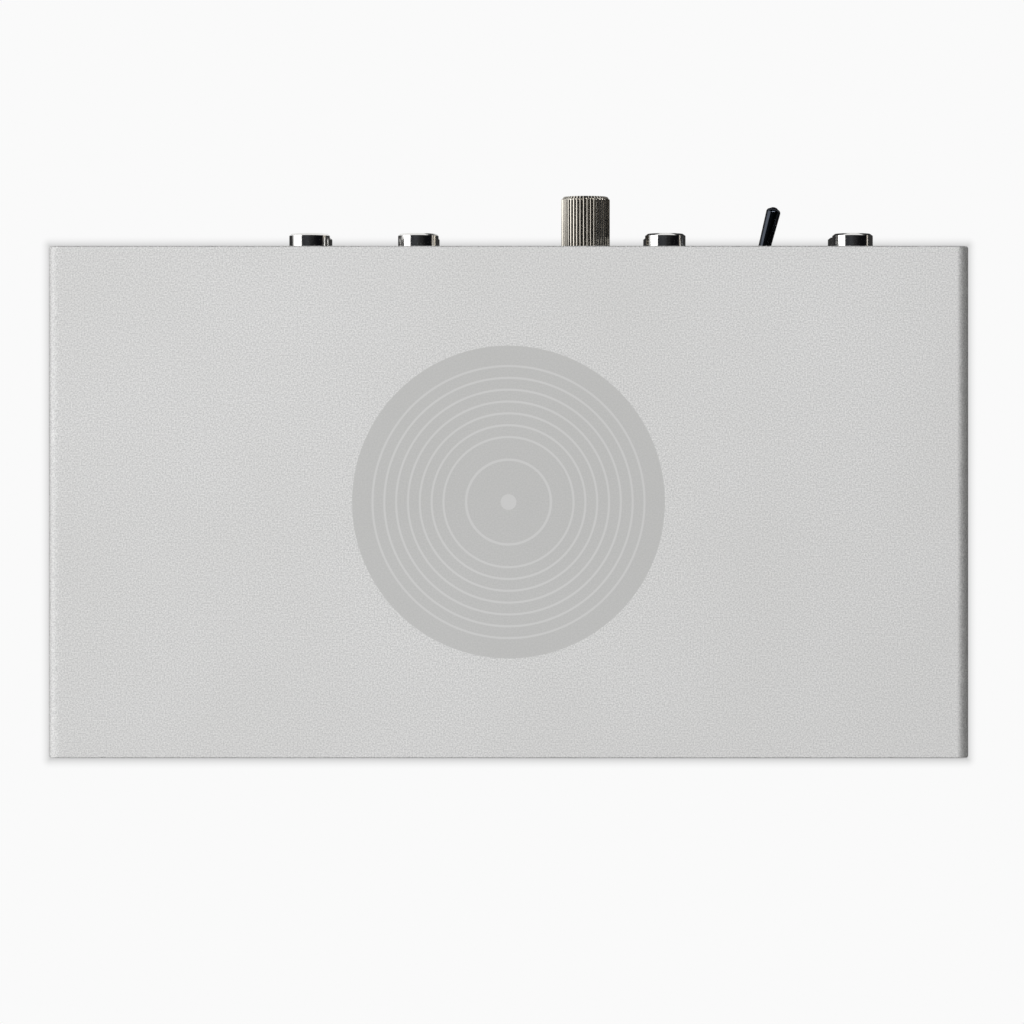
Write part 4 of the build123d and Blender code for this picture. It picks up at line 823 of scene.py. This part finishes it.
ends = [(*CASE_MIDDLE.xy, z) for z in (COVER_LOW.z - MM, COVER_HIGH.z + MM)]
line = mesh_of_points("plan_line", ends, [(0, 1)])
width, depth = COVER_SIZE.x + PLAN_ROOM, COVER_SIZE.y + PLAN_ROOM
cut(cover, swept("plan_column", line, width, depth, 0.0, PLAN_CORNER), "INTERSECT")
print("cover with rounded corners, faces:", len(cover.data.polygons))

# %% Countersinks
SCREW_HEAD_RADIUS = 2.8
SCREW_HOLE_RADIUS = 1.55
CUTTER_REACH = 1
CUTTER_DEPTH = 4
QUARTER_TURN = pi / 2
cutter = [
    (0, -CUTTER_REACH), (SCREW_HEAD_RADIUS + CUTTER_REACH, -CUTTER_REACH),
    (SCREW_HOLE_RADIUS, SCREW_HEAD_RADIUS - SCREW_HOLE_RADIUS), (SCREW_HOLE_RADIUS, CUTTER_DEPTH),
    (0, CUTTER_DEPTH),
]
low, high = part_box("cover_screws")
reach = (high[1] - low[1]) / 2 - SCREW_HEAD_RADIUS * MM
_, centre_y, centre_z = middle("cover_screws")
places, turns = [], []
for side_x, turn in ((low[0], -QUARTER_TURN), (high[0], QUARTER_TURN)):
    for y in (centre_y - reach, centre_y + reach):
        places.append((side_x, y, centre_z))
        turns.append((0.0, 0.0, turn))
cut(cover, turned("countersinks", "black_screw_steel", [], cutter, places, 48, turns=turns))
fitted(cover, ["top_cover"])
print("cover faces:", len(cover.data.polygons), "size", [round(side, 5) for side in cover.dimensions])

# %% [markdown]
# ## Pieces with eased edges
#
# The tray, the screws and the plastic housings have the right shape, but lack the tiny radii of
# punched sheet and moulded plastic. Their meshes are copied, the loose triangles joined into clean
# faces, and a narrow bevel eases each sharp edge.

# %% Eased copies
FLAT_ANGLE = 0.5
EASE_FROM_ANGLE = 31.0
BEVEL_SEGMENTS = 2


def eased_copy(name, node, width):
    """A copy of a solid's mesh with clean faces and narrow bevels on its sharp edges."""
    mesh = NODES[node].data.copy()
    mesh.name = name
    if "custom_normal" in mesh.attributes:
        mesh.attributes.remove(mesh.attributes["custom_normal"])
    work = bmesh.new()
    work.from_mesh(mesh)
    bmesh.ops.remove_doubles(work, verts=work.verts, dist=MERGE_DISTANCE)
    flat = radians(FLAT_ANGLE)
    bmesh.ops.dissolve_limit(work, angle_limit=flat, verts=work.verts, edges=work.edges)
    for face in work.faces:
        face.smooth = True
    for edge in work.edges:
        edge.smooth = len(edge.link_faces) == 2 and edge.calc_face_angle() < radians(EASE_FROM_ANGLE)
    work.to_mesh(mesh)
    work.free()
    piece = linked(name, mesh)
    bevel = piece.modifiers.new("ease", "BEVEL")
    bevel.limit_method = "ANGLE"
    bevel.angle_limit = radians(EASE_FROM_ANGLE)
    bevel.width = width * MM
    bevel.segments = BEVEL_SEGMENTS
    bevel.use_clamp_overlap = True
    weighted = piece.modifiers.new("even", "WEIGHTED_NORMAL")
    weighted.keep_sharp = False
    return piece


EASED = {
    "panel_tray": ("base_tray", "tray_steel", 0.12),
    "countersunk_screws": ("cover_screws", "black_screw_steel", 0.08),
    "socket_screws": ("jack_screws", "black_screw_steel", 0.06),
    "foot_fixings": ("foot_screws", "zinc_steel", 0.08),
    "inlet_body": ("inlet_housing", "black_moulding", 0.15),
    "switch_nut": ("toggle_nut", "nickel_plate", 0.08),
    **{name + "_body": (name + "_housing", "black_moulding", 0.15) for name in SOCKET_NAMES},
}
for name, (node, slot, width) in EASED.items():
    fitted(eased_copy(name, node, width), [node])
print("eased copies:", len(EASED))

# %% [markdown]
# ## Phono sockets
#
# A phono socket is a plated sleeve with a bevelled lip, a ring of coloured plastic inside it and a split
# brass tube in the middle for the plug's pin. White marks the left channel and red the right. Eight
# sleeves are the same, so one outline and eight places make them all.

# %% Socket sleeves
SLEEVE_RADIUS = 4.15
SLEEVE_INSIDE = 3.45
SLEEVE_ROOT_RADIUS = 3.9
SLEEVE_SHOULDER = 0.65
SLEEVE_EASE = 0.08
SLEEVE_MOUTH_EASE = 0.12
LIP_LENGTH = 0.42
LIP_RADIUS = SLEEVE_RADIUS - 0.55
LIP_EASE = 0.04
PANEL_BACK = 1.2
SOCKET_TIP = past_panel("output_1_shells")[1]
SOCKET_ROOT = -PANEL_BACK - 9.8
SOCKET_PLACES = {
    row: [(x, PANEL_Y, z) for x in SOCKET_X] for row, z in (("upper", UPPER_Z), ("lower", LOWER_Z))
}
ALL_SOCKETS = SOCKET_PLACES["upper"] + SOCKET_PLACES["lower"]
turned("socket_sleeves", "nickel_plate", [name + "_shells" for name in SOCKET_NAMES], [
    (SLEEVE_INSIDE, SOCKET_ROOT), (SLEEVE_ROOT_RADIUS, SOCKET_ROOT), (SLEEVE_ROOT_RADIUS, SLEEVE_SHOULDER),
    (SLEEVE_RADIUS - SLEEVE_EASE, SLEEVE_SHOULDER), (SLEEVE_RADIUS, SLEEVE_SHOULDER + SLEEVE_EASE),
    (SLEEVE_RADIUS, SOCKET_TIP - LIP_LENGTH), (LIP_RADIUS + LIP_EASE, SOCKET_TIP - LIP_EASE / 2),
    (LIP_RADIUS, SOCKET_TIP),
    (SLEEVE_INSIDE + SLEEVE_MOUTH_EASE, SOCKET_TIP), (SLEEVE_INSIDE, SOCKET_TIP - SLEEVE_MOUTH_EASE),
], ALL_SOCKETS, 96)

# %% Coloured insulators
RING_OUTSIDE = 3.40
RING_INSIDE = 2.10
RING_FACE = SOCKET_TIP - 0.8
RING_ROUND = 0.15
MOAT_OUTSIDE = RING_INSIDE + 0.45
MOAT_FLOOR = RING_INSIDE + 0.3
MOAT_DEPTHS = (0.35, 0.4)
RING = [
    (RING_INSIDE, SOCKET_ROOT), (RING_OUTSIDE, SOCKET_ROOT), (RING_OUTSIDE, RING_FACE - RING_ROUND),
    *arc((RING_OUTSIDE - RING_ROUND, RING_FACE - RING_ROUND), RING_ROUND, 0, 90, 3),
    (MOAT_OUTSIDE, RING_FACE), (MOAT_FLOOR, RING_FACE - MOAT_DEPTHS[0]),
    (RING_INSIDE, RING_FACE - MOAT_DEPTHS[1]),
]
for row, tone in (("lower", "red"), ("upper", "white")):
    turned(row + "_rings", tone + "_plastic", [tone + "_insulators"], RING, SOCKET_PLACES[row], 72)

# %% Centre contacts
CONTACT_OUTSIDE = 2.05
CONTACT_INSIDE = 1.6
CONTACT_TIP = SOCKET_TIP - 1.2
CONTACT_END = CONTACT_TIP - 18.0
CONTACT_BORE_END = CONTACT_TIP - 10.0
LIP_ROUND = (CONTACT_OUTSIDE - CONTACT_INSIDE) / 2
turned("centre_contacts", "contact_gold", [name + "_contacts" for name in SOCKET_NAMES], [
    (0, CONTACT_END), (CONTACT_OUTSIDE, CONTACT_END),
    *arc((CONTACT_OUTSIDE - LIP_ROUND, CONTACT_TIP - LIP_ROUND), LIP_ROUND, 0, 180, 8),
    (CONTACT_INSIDE, CONTACT_BORE_END), (0, CONTACT_BORE_END),
], ALL_SOCKETS, 48)

# %% [markdown]
# ## Ground post
#
# A record player's ground wire is clamped here. A knurled cap nut runs on an M4 stud and presses a
# loose washer against a fixed collar. The knurl is straight: 42 narrow grooves round the axis, with
# wide ridges between them. The stud's thread counts one groove round the axis and one for each pitch
# along it, which makes a true helix.

# %% Knurled nut
NUT_RADIUS = 5.0
NUT_FOOT_RADIUS = 4.5
NUT_FOOT = 0.8
NUT_FOOT_EASE = 0.15
NUT_BORE = 2.05
NUT_CAP = 2.0
NUT_CHAMFER = 0.5
NUT_CHAMFER_LENGTH = 0.6
KNURL_RIDGES = 42
FACETS_PER_RIDGE = 12
KNURL_RUNOUT = 0.25
KNURL = (float(KNURL_RIDGES), 0.0, 0.26, 2.0)
low, high = past_panel("ground_nut")
nut_length = high - low
NUT = [
    (NUT_BORE, 0), (NUT_FOOT_RADIUS - NUT_FOOT_EASE, 0), (NUT_FOOT_RADIUS, NUT_FOOT_EASE),
    (NUT_FOOT_RADIUS, NUT_FOOT), (NUT_RADIUS - KNURL_RUNOUT, NUT_FOOT, KNURL_RUNOUT),
    (NUT_RADIUS, NUT_FOOT + KNURL_RUNOUT, 1.0), (NUT_RADIUS, nut_length - NUT_CHAMFER_LENGTH, 1.0),
    (NUT_RADIUS - NUT_CHAMFER, nut_length), (0, nut_length), (0, nut_length - NUT_CAP),
    (NUT_BORE, nut_length - NUT_CAP),
]
place = [(POST_X, bottom("ground_nut").y, AXIS_Z)]
turned(
    "knurled_nut", "nickel_plate", ["ground_nut"], NUT, place, KNURL_RIDGES * FACETS_PER_RIDGE,
    body="post_nut", finish="satin_nickel", grooves=KNURL,
)

# %% Threaded stud
STUD_RADIUS = 2.0
STUD_CHAMFER = 0.5
STUD_PITCH = 0.7 * MM
STUD_THREAD = (1.0, 1 / STUD_PITCH, 0.3, 1.0)
low, high = past_panel("ground_stud")
post = [(POST_X, PANEL_Y, AXIS_Z)]
turned("threaded_stud", "nickel_plate", ["ground_stud"], [
    (0, low), (STUD_RADIUS - STUD_CHAMFER, low),
    *thread(STUD_RADIUS, low + STUD_CHAMFER, high - STUD_CHAMFER, STUD_PITCH),
    (STUD_RADIUS - STUD_CHAMFER, high), (0, high),
], post, 40, grooves=STUD_THREAD)

# %% Collar and washer
STUD_ROOM = STUD_RADIUS + 0.05
COLLAR_RADIUS = 5.0
COLLAR_NECK_RADIUS = 3.3
COLLAR_THICKNESS = 3.0
COLLAR_EASE = 0.1
COLLAR_RIM_EASE = 0.15
COLLAR_GROOVE = (1.3, 1.4, 1.6, 1.7)
COLLAR_GROOVE_RADIUS = COLLAR_RADIUS - 0.2
turned("post_collar", "nickel_plate", ["ground_collar"], [
    (STUD_ROOM, -PANEL_BACK), (COLLAR_NECK_RADIUS, -PANEL_BACK), (COLLAR_NECK_RADIUS, 0),
    (COLLAR_RADIUS - COLLAR_EASE, 0), (COLLAR_RADIUS, COLLAR_EASE), (COLLAR_RADIUS, COLLAR_GROOVE[0]),
    (COLLAR_GROOVE_RADIUS, COLLAR_GROOVE[1]), (COLLAR_GROOVE_RADIUS, COLLAR_GROOVE[2]),
    (COLLAR_RADIUS, COLLAR_GROOVE[3]), (COLLAR_RADIUS, COLLAR_THICKNESS - COLLAR_RIM_EASE),
    (COLLAR_RADIUS - COLLAR_RIM_EASE, COLLAR_THICKNESS), (STUD_ROOM, COLLAR_THICKNESS),
], post, 96)

WASHER_RADIUS = 4.8
WASHER_EASE = 0.12
low, high = past_panel("ground_washer")
turned("loose_washer", "nickel_plate", ["ground_washer"], [
    (STUD_ROOM, low), (WASHER_RADIUS - WASHER_EASE, low), (WASHER_RADIUS, low + WASHER_EASE),
    (WASHER_RADIUS, high - WASHER_EASE), (WASHER_RADIUS - WASHER_EASE, high),
    (STUD_ROOM + WASHER_EASE, high), (STUD_ROOM, high - WASHER_EASE),
], post, 96, body="post_washer")

# %% [markdown]
# ## Toggle switch
#
# The bat of the lever is thinnest at its root and swells to a round tip. It stands 14.3 degrees to the
# side at rest, so its place carries that turn about the switch's upright pivot. The bushing has the
# usual quarter-inch fine thread outside and a mouth that widens for the lever's travel.

# %% Lever
LEVER_TILT = -14.3
LEVER_REACH = 14.35
LEVER_TIP = 1.48
LEVER_TIP_CORNER = 0.75
LEVER_TIP_CROWN = 0.35
LEVER_TIP_FLAT = 0.32
LEVER_ROOT = (1.17, 2.0)
LEVER_BALL = 2.1
BALL_FROM, BALL_TO = -53, 56
STEM_RADIUS = 1.25
STEM_END = -4.4
STEM_BORE = 0.85
STEM_BORE_END = -2.2
LEVER = [
    (0, STEM_BORE_END), (STEM_BORE, STEM_BORE_END), (STEM_BORE, STEM_END), (STEM_RADIUS, STEM_END),
    *arc((0, 0), LEVER_BALL, BALL_FROM, BALL_TO, 14), LEVER_ROOT,
    *arc(
        (LEVER_TIP - LEVER_TIP_CORNER, LEVER_REACH - LEVER_TIP_CROWN - LEVER_TIP_CORNER),
        LEVER_TIP_CORNER, 0, 75,
    ),
    (LEVER_TIP * LEVER_TIP_FLAT, LEVER_REACH - LEVER_TIP_CROWN / 5), (0, LEVER_REACH),
]
switch = [(TOGGLE_X, PANEL_Y, AXIS_Z)]
tilt = [(0.0, 0.0, radians(LEVER_TILT))]
turned("bat_lever", "black_chrome", ["toggle_lever"], LEVER, switch, body="toggle_lever", turns=tilt)

# %% Bushing
BUSHING_RADIUS = 3.175
BUSHING_REACH = 4.4
BUSHING_CHAMFER = 0.3
BUSHING_CHAMFER_WIDTH = 0.25
BUSHING_MOUTH = 2.625
BUSHING_MOUTH_EASE = 0.06
BUSHING_BORE = 2.4
BUSHING_PITCH = 0.635 * MM
BUSHING_THREAD = (1.0, 1 / BUSHING_PITCH, 0.22, 1.0)
low, high = past_panel("toggle_bushing")[0], BUSHING_REACH
turned("threaded_bushing", "nickel_plate", ["toggle_bushing"], [
    (BUSHING_BORE, low), *thread(BUSHING_RADIUS, low, high - BUSHING_CHAMFER, BUSHING_PITCH),
    (BUSHING_RADIUS - BUSHING_CHAMFER_WIDTH, high), (BUSHING_MOUTH + BUSHING_MOUTH_EASE, high),
    (BUSHING_MOUTH, high - BUSHING_MOUTH_EASE), (BUSHING_BORE, 0),
], switch, grooves=BUSHING_THREAD)

# %% [markdown]
# ## Feet and lamp
#
# The four rubber feet are low cones with a rounded sole and a recess that hides a screw. The lathe
# turns about y, so their places carry a quarter turn that stands them upright. The small lamp shows
# as a clear dome in the front panel.

# %% Rubber feet
FOOT_TOP_RADIUS = 6.4
FOOT_SOLE_RADIUS = 5.9
FOOT_HEIGHT = 3.0
FOOT_ROUND = 0.5
FOOT_SHOULDER = 0.15
FOOT_RECESS_RADIUS = 3.3
FOOT_RECESS_DEPTH = 1.7
FOOT_RECESS_EASE = 0.2
FOOT_HOLE_RADIUS = 1.55
FOOT = [
    *arc((FOOT_SOLE_RADIUS - FOOT_ROUND, FOOT_ROUND), FOOT_ROUND, -90, 10),
    (FOOT_TOP_RADIUS, FOOT_HEIGHT - FOOT_SHOULDER), (FOOT_TOP_RADIUS - FOOT_SHOULDER, FOOT_HEIGHT),
    (FOOT_HOLE_RADIUS, FOOT_HEIGHT), (FOOT_HOLE_RADIUS, FOOT_RECESS_DEPTH),
    (FOOT_RECESS_RADIUS, FOOT_RECESS_DEPTH), (FOOT_RECESS_RADIUS, FOOT_RECESS_EASE),
    (FOOT_RECESS_RADIUS + FOOT_RECESS_EASE, 0),
]
FOOT_NODES = ["foot_" + corner for corner in ("front_left", "front_right", "rear_left", "rear_right")]
foot_places = [(*middle(node).xy, 0.0) for node in FOOT_NODES]
upright = [(QUARTER_TURN, 0.0, 0.0)]
turned("rubber_feet", "foot_rubber", FOOT_NODES, FOOT, foot_places, 72, turns=upright)

# %% Lamp
LAMP_RADIUS = 1.5
DOME_END = -25
DOME_HEIGHT = 0.9
low, high = past_panel("status_led")
dome = arc((0, LAMP_RADIUS), LAMP_RADIUS, -90, DOME_END, 8)
widen = LAMP_RADIUS / dome[-1][0]
lamp = [(x * widen, y * DOME_HEIGHT) for x, y in dome]
lamp += [(LAMP_RADIUS, high - low), (0, high - low)]
x, _, z = middle("status_led")
turned("lamp_lens", "led_lens", ["status_led"], lamp, [(x, bottom("status_led").y, z)], 48)

# %% [markdown]
# ## Floor and light
#
# The floor is a wide white sheet. For rays that come from the camera, or by way of a mirror or glass,
# it is an even white with a soft contact shadow close round the box. For all other rays it is plain
# pale paint, so that it throws light back up as a real table does. Rays that don't come from the
# camera also meet a shadow cast beside the box, which gives bright metal something dark to reflect.
# Seen from below the sheet is clear, so that the underside can be looked at.

# %% Shadows round the box
WHITE = 0.956
HIDDEN_AT_SIDES = 3.77 * MM
HIDDEN_AT_ENDS = 2.35 * MM
CONTACT_REACH = 2.3 * MM
CONTACT_DEPTH = 0.34
CONTACT_CURVE = 1.9
UNDER_DEPTH = 0.42
UNDER_REACH = 5.0 * MM
# A cast shadow's rows: room at the sides and the ends, shift to the right, where its fade starts and
# how far it fades.
NEAR_CAST = (0.0, 0.0, 0.0, 8.0 * MM, 2.0 * MM)
LEFT_CAST = (40.0 * MM, 6.0 * MM, -40.0 * MM, 0.0, 8.0 * MM)
LONG_CAST = (656.0 * MM, 60.0 * MM, 750.0 * MM, 0.0, 12.0 * MM)
CAST_DEPTH = 0.96


def path_is(tree, *kinds):
    """1 for rays of these kinds, such as camera rays."""
    total = sum(tree.node("ShaderNodeLightPath", out="Is " + kind + " Ray") for kind in kinds)
    return tree.maths("MINIMUM", total, 1.0)


def past_box(tree, side_room, end_room, shift=0.0, inside=False):
    """The distance on the floor from the part's footprint, widened by some room, or the depth inside it."""
    x, y, _ = tree.split(tree.place)
    past_side = abs(x - CASE_MIDDLE.x - shift) - (COVER_SIZE.x / 2 + side_room)
    past_end = abs(y - CASE_MIDDLE.y) - (COVER_SIZE.y / 2 + end_room)
    if inside:
        return tree.larger(tree.larger(past_side, past_end) * -1.0, 0.0)
    beside = tree.larger(past_side, 0.0)
    beyond = tree.larger(past_end, 0.0)
    return (beside * beside + beyond * beyond) ** 0.5


def cast_shadow(floor, side_room, end_room, shift, start, edge):
    """A soft-edged shadow on the floor, as wide as the box and some room."""
    settings = {"interpolation_type": "SMOOTHSTEP"}
    reach = {"From Min": start, "From Max": start + edge, "To Min": CAST_DEPTH, "To Max": 0.0}
    distance = past_box(floor, side_room, end_room, shift)
    return floor.node("ShaderNodeMapRange", settings, {"Value": distance, **reach})


print("contact shadow reaches, in mm:", round((HIDDEN_AT_SIDES + CONTACT_REACH) / MM, 1))

# %% Floor
FLOOR_SIZE = 60.0
floor = Finish("white_floor", (0.8, 0.8, 0.8), 0.9)
hidden = (HIDDEN_AT_SIDES, HIDDEN_AT_ENDS)
near = floor.larger(1.0 - past_box(floor, *hidden) / CONTACT_REACH, 0.0)
within = past_box(floor, *hidden, inside=True) / UNDER_REACH
under = (1.0 - floor.maths("EXPONENT", within * -2.0)) * UNDER_DEPTH
contact = near ** CONTACT_CURVE * CONTACT_DEPTH + under
beside = floor.larger(cast_shadow(floor, *LEFT_CAST), cast_shadow(floor, *LONG_CAST))
cast = floor.larger(cast_shadow(floor, *NEAR_CAST), beside)
shadow = floor.larger(contact, cast * (1.0 - path_is(floor, "Camera")))
shaded = floor.between((0.0, 0.0, 0.0), (WHITE, WHITE, WHITE), 1.0 - shadow)
glow = floor.node("ShaderNodeEmission", inputs={"Color": shaded, "Strength": 1.0})
paint = Value(floor, floor.shader.outputs[0])
seen = path_is(floor, "Camera", "Glossy", "Transmission")
sheet = floor.node("ShaderNodeMixShader", inputs={0: seen, 1: paint, 2: glow})
below = floor.node("ShaderNodeNewGeometry", out="Backfacing")
clear = floor.node("ShaderNodeBsdfTransparent")
surface = floor.node("ShaderNodeMixShader", inputs={0: below, 1: sheet, 2: clear})
floor.feed(floor.output.inputs["Surface"], surface)

half = FLOOR_SIZE / 2
corners = [(-half, -half, 0), (half, -half, 0), (half, half, 0), (-half, half, 0)]
mesh = mesh_of_points("floor", corners, faces=[(0, 1, 2, 3)])
mesh.materials.append(floor.material)
linked("floor", mesh)
print("floor side in metres:", FLOOR_SIZE)

# %% [markdown]
# ### Lamps
#
# Bright metal only looks like metal when its surroundings vary. Straight above the box it is dark, so
# the round sleeves show a near-black middle. The walls are dim but for the left, where a large softbox
# draws one bright strip down each sleeve, and a weak warm strip low on the right tints the other side.
# Two softboxes high over the front and the rear light the blasted face evenly. The camera itself sees
# a white backdrop past the floor.

# %% The room
# Stops of tones from left to right, and of the change from walls to ceiling with height.
WALLS = ((0.1, 0.9), (0.3, 0.16))
CEILING = ((0.4, (0.028, 0.030, 0.034)), (0.6, (0.004, 0.004, 0.005)))
WALLS_TO_CEILING = ((0.04, 0.0), (0.14, 1.0))
world = bpy.data.worlds.new("studio")
world.use_nodes = True
world.node_tree.nodes.clear()
bpy.context.scene.world = world
room = Tree(world.node_tree)
across, _, height = room.split(room.node("ShaderNodeTexCoord", out="Generated"))
turn = across * 0.5 + 0.5
rise = room.ramp(height, *WALLS_TO_CEILING)
inside = room.between(room.ramp(turn, *WALLS), room.ramp(turn, *CEILING), rise)
shown = room.between(inside, (WHITE, WHITE, WHITE), path_is(room, "Camera"))
background = room.node("ShaderNodeBackground", inputs={"Color": shown, "Strength": 1.0})
room.feed(world.node_tree.nodes.new("ShaderNodeOutputWorld").inputs["Surface"], background)
print("nodes that colour the room:", len(world.node_tree.nodes))

# %% Softboxes


def softbox(name, place, size, brightness, color=(1.0, 1.0, 1.0)):
    """A rectangular lamp that faces the middle of the box. A brightness of 1 looks white."""
    lamp_data = bpy.data.lights.new(name, "AREA")
    lamp_data.shape = "RECTANGLE"
    lamp_data.size, lamp_data.size_y = size
    lamp_data.energy = brightness * size[0] * size[1] * pi
    lamp_data.color = color
    thing = linked(name, lamp_data)
    thing.location = place
    thing.rotation_euler = (CASE_MIDDLE - Vector(place)).to_track_quat("-Z", "Y").to_euler()
    thing.visible_camera = False


softbox("left_softbox", (-1.7, 0.0, 0.70), (2.0, 1.5), 2.2)
softbox("rear_softbox", (0.0, 0.78, 1.9), (1.7, 0.25), 15.6)
softbox("front_softbox", (0.0, -0.78, 1.9), (2.2, 0.6), 4.35)
softbox("warm_strip", (1.2, 0.3, 0.06), (0.8, 0.12), 0.45, (1.0, 0.86, 0.68))
print("softboxes:", len(bpy.data.lights))

# %% [markdown]
# ## Colour
#
# The Standard view transform shows colours as written.

# %% View settings and the end
bpy.context.scene.view_settings.view_transform = "Standard"
